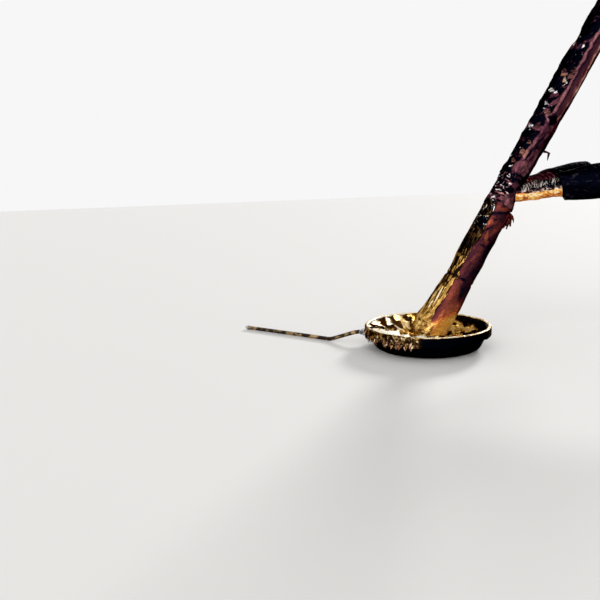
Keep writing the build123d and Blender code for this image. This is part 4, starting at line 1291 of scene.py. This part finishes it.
@dataclass
class DishFoil(FoilTube):
    """Foil in the dish in bold radial pleats: bright outboard as painted sunlight, dark inboard as painted
    shade, lumpy at the hub.
    """

    pleats: int = 19
    pleat_rise: float = 0.026
    pleat_ends: tuple[Span, Span] = ((0.17, 0.33), (0.447, 0.425))
    crease_rise: float = 0.010
    lump_rise: float = 0.030
    lump_fade: Span = (0.36, 0.25)
    deepest: float = 0.002
    taut_part: Place = (204.0, 66.0, 34.0)
    # Sector of the lip painted bright as if sunlit: middle bearing, outer and inner half angles
    painted_lit_lip_part: Place = (206.0, 54.0, 40.0)
    ribbed_part: Place = (338.0, 88.0, 62.0)
    taut_rise: Table = ((0.17, 0.0), (0.22, 0.020), (0.30, 0.036), (0.38, 0.022), (0.44, 0.0))

    def pleated(self, radius: Points, bearing: Points, sway: Points) -> tuple[Points, Points, Points]:
        """Folds the foil into pleats.

        Args:
            radius: Distance of each point from the pad's axis.
            bearing: Bearing of each.
            sway: How far the pleats wander sideways there, in degrees.

        Returns:
            Lift of each point, whether it is on a pleat's lit flank, and its pleat's random number.
        """
        phase = (bearing + sway) / 360.0 * self.pleats
        turn = phase % 1.0
        number = np.floor(phase).astype(np.int64)
        panel = scatter(np.stack([number, number * 0, number * 0], 1), 5)
        crest = 0.52 + 0.26 * panel
        wave = np.where(turn < crest, turn / crest, (1.0 - turn) / (1.0 - crest))
        lift = self.pleat_rise * (wave - 0.1) * window(radius, *self.pleat_ends) * (0.6 + 0.6 * panel)
        return lift, turn < crest, panel

    def shape(self, points: Points) -> tuple[Points, Paint]:
        """Pleats the dish and paints it."""
        radius, bearing = radius_of(points), bearing_of(points, PAD_START)
        crush = Crumple(size=0.11, seed=41).at(points)
        small = Crumple(size=0.045, octaves=2, seed=42).at(points)
        polar = np.stack([radius, 0.085 * np.radians(bearing), 0.0 * radius], 1)
        ring = Crumple(size=0.046, octaves=2, seed=44).at(polar)
        lift, lit, panel = self.pleated(radius, bearing, 4.0 * crush.level + 26.0 * (radius - 0.30))
        lift += self.crease_rise * crush.level * ramp(radius, 0.445, 0.42)
        outboard = sector(bearing, *PAINTED_LIT_HALF)
        lumpy = crush.level * outboard + 1.3 * ring.level * (1.0 - outboard) + 0.4 * small.level
        lift += self.lump_rise * np.clip(lumpy, 0, 1) * window(radius, (0.158, 0.175), self.lump_fade)
        lift += sector(bearing, *self.taut_part) * along_table(radius, self.taut_rise)
        moved = points.copy()
        moved[:, 2] += np.maximum(lift, -self.deepest)
        # Painted light on the outboard half: each pleat's lit flank bright and its other flank dark, and a
        # white lip near the rim as if sunlit
        brightness = 1.0 - 0.14 * (panel > 0.75) - 0.25 * (small.facet > 0.93)
        pleat_tone = np.where(lit, brightness, 0.26 + 0.16 * small.tint)
        painted_lit_lip = ramp(radius + 0.05 * crush.level, 0.310, 0.335) * (lit | (panel > 0.30))
        painted_lit_lip *= sector(bearing, *self.painted_lit_lip_part) * (1.0 - 0.8 * (small.facet > 0.94))
        # The rest starts dark: painted shade over the inboard half
        paint = Paint.plain(points, 0.12)
        paint.tone += 0.16 * crush.tint + 0.16 * (small.facet > 0.93)
        paint.lay(outboard, pleat_tone)
        paint.lay(outboard * painted_lit_lip, 1.0)
        inner = ramp(radius + 0.03 * crush.level, 0.265, 0.235)
        paint.lay(inner * outboard, 0.46 + 0.5 * crush.level + 0.4 * small.tint)
        ribs = ramp(radius + 0.03 * crush.level, 0.385, 0.355) * (1.0 - outboard)
        ribs *= sector(bearing, *self.ribbed_part)
        rib_tone = 0.12 + 0.55 * ramp(ring.level + 0.3 * small.level, -0.14, 0.06)
        paint.lay(ribs, rib_tone + 0.22 * small.tint)
        return moved, paint


@dataclass
class RimFoil(FoilTube):
    """Foil folded over the pad's lip, hanging ragged outboard and drawn tight inboard; near black as painted
    shade, with painted highlights along its crown and along its inner edge on the lit half.
    """

    fold_height: float = 0.168
    hem_height: float = 0.124
    tight_hem: float = 0.117
    loose_drop: float = 0.012
    crush_depth: float = 0.007
    outer_wall: float = 0.470
    inner_edge: float = 0.456
    loose_part: Place = (192.0, 52.0, 42.0)

    def shape(self, points: Points) -> tuple[Points, Paint]:
        """Crumples the fold, tears its hem and paints it."""
        bearing = bearing_of(points, PAD_START)
        radius, height = radius_of(points), points[:, 2]
        crush = Crumple(size=0.050, seed=51).at(points)
        small = Crumple(size=0.022, octaves=2, seed=52).at(points)
        loose = sector(bearing, *self.loose_part)
        outside = radius > self.outer_wall
        below = ramp(height, self.fold_height, self.fold_height - 0.02) * outside
        hem = self.tight_hem + 0.004 * small.level
        hem -= loose * (self.loose_drop + 0.022 * small.level + 0.010 * crush.level)
        free = (0.25 + below * 0.75) * (0.4 + 0.6 * loose)
        moved = outwards(points, self.crush_depth * crush.level * free)
        reach = (self.fold_height - height) / (self.fold_height - self.hem_height)
        hanging = outside & (height < self.fold_height)
        moved[hanging, 2] = (self.fold_height - reach * (self.fold_height - hem))[hanging]
        moved[:, 2] += 0.0022 * crush.level * (height > self.fold_height)
        # Painted highlight along the top of the fold
        crown = ramp(height, self.fold_height + 0.004, self.fold_height + 0.010)
        # Near black all over as painted shade
        paint = Paint.plain(points, 0.06, 1.0)
        paint.lay(crown * ramp(radius, 0.474, 0.470), 0.96 - 0.4 * (small.facet > 0.8), 0.0)
        outer = loose * np.maximum(below, ramp(radius, 0.462, 0.470))
        paint.lay(outer, 0.50 + 0.40 * small.level + 0.3 * crush.tint, 0.45)
        paint.lay(outer * (small.facet > 0.95), 0.97)
        paint.lay(outer * (small.facet < 0.25), 0.06)
        # Painted highlight along the inner edge on the lit half
        paint.lay((radius < self.inner_edge) * sector(bearing, *PAINTED_LIT_HALF), 0.95, 0.0)
        return moved, paint


@dataclass
class WallFoil(FoilTube):
    """Foil skirt over the pad's wall and bilge, near black as painted shade, slit for the probe's bracket.
    """

    slit: float = 0.050
    raised: float = 0.002
    crush_depth: float = 0.0035

    def skin(self) -> bmesh.types.BMesh:
        """Opens the slit in the turned skirt."""
        work = super().skin()
        turn = Matrix.Rotation(-LAYOUT.probe_bearing, 4, "Z")
        cut_away(work, turn, lambda seen: seen.x > 0 and abs(seen.y) < self.slit)
        return work

    def shape(self, points: Points) -> tuple[Points, Paint]:
        """Creases the skirt and paints it."""
        crush = Crumple(size=0.075, seed=91).at(points)
        small = Crumple(size=0.03, octaves=2, seed=92).at(points)
        moved = outwards(points, self.raised + self.crush_depth * crush.level)
        # Near black all over: painted shade on the pad's outside
        paint = Paint.plain(points, 0.18)
        paint.tone += 0.25 * crush.tint
        paint.lay(1.0 * (crush.fold > 0.5) * (small.facet > 0.75), 0.62, 0.0)
        return moved, paint


@dataclass
class HubBoot(FoilTube):
    """Gold dome over the ball, open round the strut's neck and cut level at its foot."""

    foot_drop: float = 0.0572
    crush_depth: float = 0.0018

    def skin(self) -> bmesh.types.BMesh:
        """Cuts the dome, which is turned about the strut, level with the ground."""
        work = super().skin()
        rising = Vector((-math.sin(LAYOUT.lean), 0.0, math.cos(LAYOUT.lean)))
        bmesh.ops.bisect_plane(
            work,
            geom=work.verts[:] + work.edges[:] + work.faces[:],
            plane_co=rising * -self.foot_drop,
            plane_no=rising,
            clear_inner=True,
        )
        return work

    def shape(self, points: Points) -> tuple[Points, Paint]:
        """Wrinkles the dome, keeping inside the sheath's skirt, and paints it."""
        crush = Crumple(size=0.05, seed=95).at(points)
        small = Crumple(size=0.022, octaves=2, seed=96).at(points)
        distance = np.maximum(np.linalg.norm(points, axis=1), 1e-6)
        moved = points * (1.0 + self.crush_depth * np.clip(crush.level, -1.0, 1.0) / distance)[:, None]
        paint = Paint.plain(points, 0.70)
        paint.tone += 0.24 * crush.level + 0.2 * small.tint
        return moved, paint


@dataclass(frozen=True)
class Scrap:
    """One torn tongue of foil, by the bearing, radius and height of its root on a tube about Z."""

    bearing: float
    radius: float
    height: float
    length: float
    width: float
    tilt: float
    spin: float
    curl: float
    tone: float
    hue: float
    twist: float = 0.0

    def place(self) -> Matrix:
        """Frame of the tongue's root, with Z along the tongue."""
        turns = ((self.spin, "X"), (self.tilt, "Y"), (self.twist, "Z"))
        frame = Matrix.Rotation(math.radians(self.bearing), 4, "Z")
        frame @= Matrix.Translation((self.radius, 0.0, self.height))
        for angle, axis in turns:
            frame @= Matrix.Rotation(math.radians(angle), 4, axis)
        return frame


@dataclass(kw_only=True)
class Scraps(Foil):
    """Torn tongues of foil that hang on a sheet, as one object."""

    scraps: tuple[Scrap, ...]
    seed: int
    across: int = 2
    along: int = 6
    wall: float = 0.0008
    wall_offset: float = 0.0

    def build(self) -> bpy.types.Object:
        """Bends a narrow grid for each tongue and gives them all a thin wall.

        Returns:
            The object, riding on its body.
        """
        work = bmesh.new()
        tone_layer = work.verts.layers.float.new("tone")
        hue_layer = work.verts.layers.float.new("hue")
        rng = np.random.default_rng(self.seed)
        for scrap in self.scraps:
            made = bmesh.ops.create_grid(work, x_segments=self.across, y_segments=self.along, size=0.5)
            place = scrap.place()
            for vert in made["verts"]:
                share = vert.co.y + 0.5
                half = scrap.width * (1.0 - 0.8 * share**1.6) * rng.uniform(0.8, 1.2)
                bend = math.radians(scrap.curl) * share
                reach, ragged = scrap.length * share, scrap.width * share
                sideways = reach * math.sin(bend) + 0.10 * ragged * rng.normal()
                along = reach * math.cos(bend) + 0.06 * ragged * rng.normal()
                vert[tone_layer] = float(np.clip(scrap.tone + rng.normal() * 0.12, 0.0, 1.0))
                vert[hue_layer] = scrap.hue
                vert.co = place @ Vector((sideways, vert.co.x * half, along))
        piece = self.settle(mesh_of(self.name, work))
        LOG.info("%s: %d tongues on %s", self.name, len(self.scraps), self.body)
        return piece


# Studio


@dataclass(frozen=True)
class Studio:
    """Pale floor, even surroundings and soft lamps."""

    floor: MattFinish = MattFinish("pale floor", (0.80, 0.79, 0.77))
    floor_half: float = 40.0
    floor_drop: float = 0.0005
    backdrop: float = 0.93
    fill: float = 0.50
    aimed_at: Place = (-1.2, 0.0, -1.8)
    lamps: tuple[tuple[str, Place, float, float], ...] = (
        ("key", (4.5, 5.5, 1.5), 2.2, 12.0),
        ("front fill", (-5.0, -6.0, 2.0), 1.4, 60.0),
    )

    def build(self) -> None:
        """Makes the floor, the world and the lamps."""
        work = bmesh.new()
        bmesh.ops.create_grid(work, x_segments=1, y_segments=1, size=self.floor_half)
        mesh = mesh_of("floor", work)
        mesh.transform(Matrix.Translation((0.0, 0.0, LAYOUT.sole - self.floor_drop)))
        mesh.materials.append(self.floor.build())
        linked("floor", mesh)
        self.surroundings()
        for lamp in self.lamps:
            self.lamp(*lamp)

    def surroundings(self) -> None:
        """Even world light, paler where the camera and mirrors see it."""
        world = bpy.data.worlds.new("studio")
        bpy.context.scene.world = world
        world.use_nodes = True
        world.node_tree.nodes.clear()
        net = NodeNet(world.node_tree)
        rays = net.add("LightPath").outputs
        seen = net.math("MAXIMUM", rays["Is Camera Ray"], rays["Is Glossy Ray"])
        seen = net.math("MAXIMUM", seen, rays["Is Transmission Ray"])
        white = (1.0, 1.0, 1.0, 1.0)
        light = net.add("Background", {"Color": white, "Strength": self.fill})
        shown = net.add("Background", {"Color": white, "Strength": self.backdrop})
        mix = net.add("MixShader", {"Fac": seen, 1: light.outputs[0], 2: shown.outputs[0]})
        net.add("OutputWorld", {"Surface": mix.outputs[0]})

    def lamp(self, name: str, place: Place, strength: float, softness: float) -> None:
        """Adds a far, soft lamp aimed at the leg's middle.

        Args:
            name: Lamp name.
            place: Where it stands.
            strength: Sun strength.
            softness: Angle it spans, in degrees.
        """
        data = bpy.data.lights.new(name, "SUN")
        data.energy = strength
        data.angle = math.radians(softness)
        lamp = linked(name, data)
        lamp.location = place
        lamp.rotation_mode = "QUATERNION"
        lamp.rotation_quaternion = (Vector(self.aimed_at) - Vector(place)).to_track_quat("-Z", "Y")


@dataclass(frozen=True)
class PhotoCamera:
    """Camera that stands where the photograph was taken."""

    from_pad: Place = (-2.2, -4.555, 1.28)
    bearing: float = math.radians(14.6)
    pitch: float = math.radians(11.6)
    roll: float = math.radians(1.8)
    focal_share: float = 665.0 / 600.0
    shift: Span = (0.0025, 0.0292)

    def build(self) -> None:
        """Makes the scene's camera."""
        data = bpy.data.cameras.new("photo camera")
        data.sensor_width = 36.0
        data.lens = self.focal_share * data.sensor_width
        data.shift_x, data.shift_y = self.shift
        data.clip_start, data.clip_end = 0.05, 200.0
        right = Vector((math.cos(self.bearing), -math.sin(self.bearing), 0.0))
        level = Vector((math.sin(self.bearing), math.cos(self.bearing), 0.0))
        ahead = level * math.cos(self.pitch) - Vector((0.0, 0.0, math.sin(self.pitch)))
        above = right.cross(ahead)
        right_rolled = math.cos(self.roll) * right - math.sin(self.roll) * above
        above_rolled = math.sin(self.roll) * right + math.cos(self.roll) * above
        camera = linked("photo camera", data)
        camera.rotation_mode = "QUATERNION"
        camera.rotation_quaternion = (
            Matrix((right_rolled, above_rolled, -ahead)).transposed().to_quaternion()
        )
        camera.location = LAYOUT.pad() @ Vector(self.from_pad)
        bpy.context.scene.camera = camera


# The dressed leg


@dataclass
class PrimaryStrut:
    """Foil on the primary strut. The rows give the places of its torn flaps and tufts.

    Flaps: bearing, height, length, width, tilt, tone. Spur: radius, height, length, width, tilt,
    tone. Tufts: bearing, height, tilt, length.
    """

    # Flaps of tone 0.9 or more are silver: painted glints
    flap_rows: tuple[tuple[float, ...], ...] = (
        (219, 2.126, 0.062, 0.050, 36, 0.60),
        (246, 2.122, 0.055, 0.042, 30, 0.62),
        (244, 2.170, 0.052, 0.048, 38, 0.58),
        (232, 2.080, 0.046, 0.026, 32, 0.86),
        (206, 1.990, 0.036, 0.034, 42, 0.92),
        (214, 1.880, 0.034, 0.030, 40, 0.92),
        (236, 1.820, 0.052, 0.044, 30, 0.55),
        (228, 1.700, 0.044, 0.040, 36, 0.50),
        (200, 1.690, 0.032, 0.032, 42, 0.97),
        (232, 1.560, 0.044, 0.034, 34, 0.62),
        (226, 1.480, 0.052, 0.042, 32, 0.66),
        (212, 1.400, 0.036, 0.036, 38, 0.55),
    )
    spur_rows: tuple[tuple[float, ...], ...] = (
        (0.102, 1.595, 0.052, 0.020, 80, 0.24),
        (0.140, 1.604, 0.062, 0.018, 162, 0.20),
    )
    tuft_rows: tuple[tuple[float, ...], ...] = (
        (328, 1.060, 96, 0.075),
        (331, 1.052, 118, 0.085),
        (326, 1.046, 138, 0.060),
        (333, 1.040, 106, 0.080),
        (328, 1.032, 146, 0.070),
        (332, 1.024, 124, 0.078),
        (327, 1.016, 160, 0.060),
        (331, 1.006, 136, 0.055),
    )
    tuft_growth: float = 1.15
    foil_radius: float = 0.104

    def tuft(self) -> bpy.types.Object:
        """Torn tuft that sticks out inboard below the collar."""
        scraps = tuple(
            Scrap(
                bearing, self.foil_radius, height, self.tuft_growth * length,
                width=0.040, tilt=tilt, spin=0.0, curl=40.0, tone=0.36, hue=0.0, twist=62.0,
            )
            for bearing, height, tilt, length in self.tuft_rows
        )
        return Scraps(
            name="sheath_tuft", slot="amber_foil", finish=AMBER_FOIL, frame=LAYOUT.leg(),
            scraps=scraps, seed=301,
        ).build()

    def flaps(self) -> bpy.types.Object:
        """Loose flaps on the upper blanket, silver ones as painted glints and brown ones, and one bent spur
        of two tongues.
        """
        flaps = tuple(
            Scrap(
                bearing, self.foil_radius, height, length, width, tilt,
                spin=18.0, curl=26.0, tone=tone, hue=float(tone < 0.9),
            )
            for bearing, height, length, width, tilt, tone in self.flap_rows
        )
        spur = tuple(
            Scrap(
                330.0, radius, height, length, width, tilt,
                spin=0.0, curl=0.0, tone=tone, hue=1.0, twist=76.0,
            )
            for radius, height, length, width, tilt, tone in self.spur_rows
        )
        return Scraps(
            name="blanket_flaps", slot="black_foil", finish=BLACK_FOIL, frame=LAYOUT.leg(),
            scraps=flaps + spur, seed=302,
        ).build()

    def build(self) -> None:
        """Makes the blankets from the ball up, each after the scraps that hang on it."""
        leg = LAYOUT.leg()
        LowerSheath(
            name="lower_sheath_foil", replaced="lower_sheath", rests_on="inner_cylinder",
            slot="amber_foil", finish=AMBER_FOIL, frame=leg, steps=100, spacing=0.0075,
        ).build([self.tuft()])
        SheathSeam(
            name="sheath_seam_foil", replaced="sheath_seam", rests_on="lower_sheath_foil",
            slot="gold_foil", finish=SEAM_FOIL, frame=leg, length=1.053,
        ).build()
        CollarBlanket(
            name="collar_foil", replaced="collar_blanket", rests_on="collar",
            slot="black_foil", finish=BLACK_FOIL, frame=leg, steps=110, spacing=0.006,
            inner=0.0955, outer_line=((0.1056, 1.0852), (0.1056, 1.3178)),
        ).build()
        UpperBlanket(
            name="upper_blanket_foil", replaced="upper_blanket", rests_on="outer_cylinder",
            slot="amber_foil", finish=BLACK_FOIL, frame=leg, steps=100, spacing=0.0075,
            inner=0.0845, outer_line=((0.1055, 1.3183), (0.1085, 3.2238)),
        ).build([self.flaps()])


@dataclass
class SecondaryStrut:
    """Foil on one secondary strut."""

    side: Side
    spikes: int = 120
    near_profile: Table = ((0.106, 0.412), (0.122, 0.56), (0.128, 0.70), (0.128, 1.15), (0.084, 1.316))
    far_profile: Table = ((0.086, 0.412), (0.088, 0.56), (0.104, 0.70), (0.104, 1.15), (0.084, 1.316))

    def fringe(self) -> bpy.types.Object:
        """Frayed edge that stands out along the root wrap's outer side, pale partly as painted light."""
        turn = self.side.value
        rng = np.random.default_rng(400 + turn)
        scraps = tuple(
            Scrap(
                bearing=rng.uniform(-8.0, 34.0) * turn,
                radius=0.064,
                height=rng.uniform(0.130, 0.400),
                length=rng.uniform(0.024, 0.062),
                width=rng.uniform(0.0015, 0.0042),
                tilt=rng.uniform(-2.0, 20.0),
                spin=rng.uniform(40.0, 130.0) * -turn,
                curl=rng.uniform(-14.0, 14.0),
                tone=rng.choice([0.70, 0.80, 0.88, 0.96]),
                hue=0.9,
            )
            for _ in range(self.spikes)
        )
        return Scraps(
            name=f"root_fringe_{self.side.label}", slot="gold_foil", finish=ROOT_FOIL,
            frame=LAYOUT.secondary(self.side), scraps=scraps, seed=410 + turn,
        ).build()

    def build(self) -> None:
        """Makes the root wrap, its fringe and the shroud."""
        frame = LAYOUT.secondary(self.side)
        label, turn = self.side.label, self.side.value
        near = self.side is Side.NEAR
        RootWrap(
            name=f"root_wrap_foil_{label}", replaced=f"root_wrap_{label}", rests_on=f"rod_{label}",
            slot="gold_foil", finish=ROOT_FOIL, frame=frame, steps=72, spacing=0.006,
            inner=0.0505, outer_line=((0.064, 0.126), (0.070, 0.4117)),
            crush=Crumple(size=0.045, stretch=1.2, seed=72 + turn), reddish=not near,
        ).build([self.fringe()])
        Shroud(
            name=f"shroud_foil_{label}", replaced=f"shroud_{label}", rests_on=f"sleeve_{label}",
            slot="black_foil", finish=BLACK_FOIL, frame=frame, steps=88, spacing=0.010,
            inner=0.0735, outer_line=self.near_profile if near else self.far_profile,
            crush=Crumple(size=0.12, stretch=1.8, seed=82 + turn),
            mouth_lean=0.022 if near else 0.0, red_until=0.0 if near else 0.66,
        ).build()


@dataclass
class Footpad:
    """Foil on the footpad."""

    lip: float = 0.460
    lip_height: float = 0.159
    foot: float = 0.404
    foot_height: float = 0.042
    roll_height: float = 0.168
    clear: float = 0.0083
    fold: float = 0.006
    bilge_radius: float = 0.0780
    boot_radius: float = 0.1105
    skirt: Place = (0.0025, 0.012, 0.118)
    tongues: int = 90

    def wall_line(self, grow: float, low: float, high: float) -> Table:
        """Line of the pad's bilge and wall, grown outwards.

        Args:
            grow: How far outside the pan.
            low: Lowest height.
            high: Highest height.

        Returns:
            (radius, height) points from low to high.
        """
        slope = (self.lip - self.foot) / (self.lip_height - self.foot_height)
        lean = math.atan(slope)
        arc = self.bilge_radius + grow
        centre_height = self.bilge_radius
        at_ground = self.foot - slope * self.foot_height + grow * math.hypot(1.0, slope)
        tangent_height = centre_height - arc * math.sin(lean)
        centre_radius = at_ground + slope * tangent_height - arc * math.cos(lean)
        start = math.acos((centre_height - low) / arc)
        bilge = [
            (centre_radius + arc * math.sin(angle), centre_height - arc * math.cos(angle))
            for angle in np.linspace(start, math.pi / 2 - lean, 7)
        ]
        return (*bilge, (at_ground + slope * high, high))

    def fringe(self) -> bpy.types.Object:
        """Torn tongues that hang from the loose part of the rim foil."""
        rng = np.random.default_rng(500)
        scraps = tuple(
            Scrap(
                bearing=rng.uniform(144.0, 236.0),
                radius=self.lip + self.clear + self.fold + 0.001,
                height=rng.uniform(0.108, 0.145),
                length=rng.uniform(0.020, 0.040),
                width=rng.uniform(0.008, 0.020),
                tilt=rng.uniform(154.0, 184.0),
                spin=rng.uniform(-30.0, 30.0),
                curl=rng.uniform(-24.0, 24.0),
                tone=rng.choice([0.12, 0.28, 0.40, 0.48, 0.54, 0.60, 0.66, 0.86]),
                hue=rng.uniform(0.25, 0.65),
            )
            for _ in range(self.tongues)
        )
        return Scraps(
            name="rim_fringe", slot="gold_foil", finish=TORN_FOIL, frame=LAYOUT.pad(),
            body="footpad", scraps=scraps, seed=510,
        ).build()

    def build(self) -> None:
        """Makes the dish's lining, the rim's fold, the skirt and the hub's boot."""
        pad = LAYOUT.pad()
        DishFoil(
            name="dish_foil_lining", replaced="dish_foil", rests_on="footpad_upper_skin",
            slot="gold_foil", finish=GOLD_FOIL, frame=pad, body="footpad", held=Held.LAID,
            length=0.9, steps=320, outline=((0.158, 0.0525), (0.442, 0.1615)),
        ).build()
        outer = self.clear + self.fold
        crown = [
            (self.lip + outer * math.cos(a), self.roll_height + outer * math.sin(a))
            for a in np.radians(np.linspace(180, 0, 9))
        ]
        RimFoil(
            name="rim_foil_fold", replaced="rim_foil", rests_on="footpad_rim",
            slot="gold_foil", finish=GOLD_FOIL, frame=pad, body="footpad", held=Held.FOLDED,
            length=2.9, steps=400, spacing=0.005,
            outline=((self.lip - outer, 0.1655), *crown, (self.lip + outer, 0.124)),
        ).build([self.fringe()])
        WallFoil(
            name="wall_foil_skirt", replaced="wall_foil", rests_on="footpad_pan",
            slot="black_foil", finish=BLACK_FOIL, frame=pad, body="footpad", held=Held.HUNG,
            length=2.7, steps=300, outline=self.wall_line(*self.skirt),
        ).build()
        dome = [
            (self.boot_radius * math.sin(a), self.boot_radius * math.cos(a))
            for a in np.radians(np.linspace(154.0, 45.0, 22))
        ]
        HubBoot(
            name="hub_boot_foil", replaced="hub_boot", rests_on="footpad_hub",
            slot="gold_foil", finish=GOLD_FOIL, frame=LAYOUT.leg(), body="footpad",
            length=0.35, steps=100, spacing=0.007, outline=tuple(dome),
        ).build()


def dress_metal(nodes: dict[str, bpy.types.Object], subparts: Iterable[dict]) -> None:
    """Gives every packed metal node its finish.

    Args:
        nodes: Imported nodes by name.
        subparts: Their records.
    """
    for part in subparts:
        finish = METALS.get(part["material_slot"])
        if part["node"] == "probe_mast":
            finish = PROBE_TAPE
        if finish is None:
            continue
        for slot in nodes[part["node"]].material_slots:
            slot.material = finish.build()


def main() -> None:
    logging.basicConfig(level=logging.INFO, format="%(name)s: %(message)s")
    for leftover in list(bpy.data.objects):
        bpy.data.objects.remove(leftover)
    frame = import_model()
    bpy.context.scene.view_settings.view_transform = "Standard"
    PhotoCamera().build()
    Studio().build()
    dress_metal(frame["nodes"], frame["record"]["subparts"])
    PrimaryStrut().build()
    for side in Side:
        SecondaryStrut(side).build()
    Footpad().build()


if __name__ == "__main__":
    main()
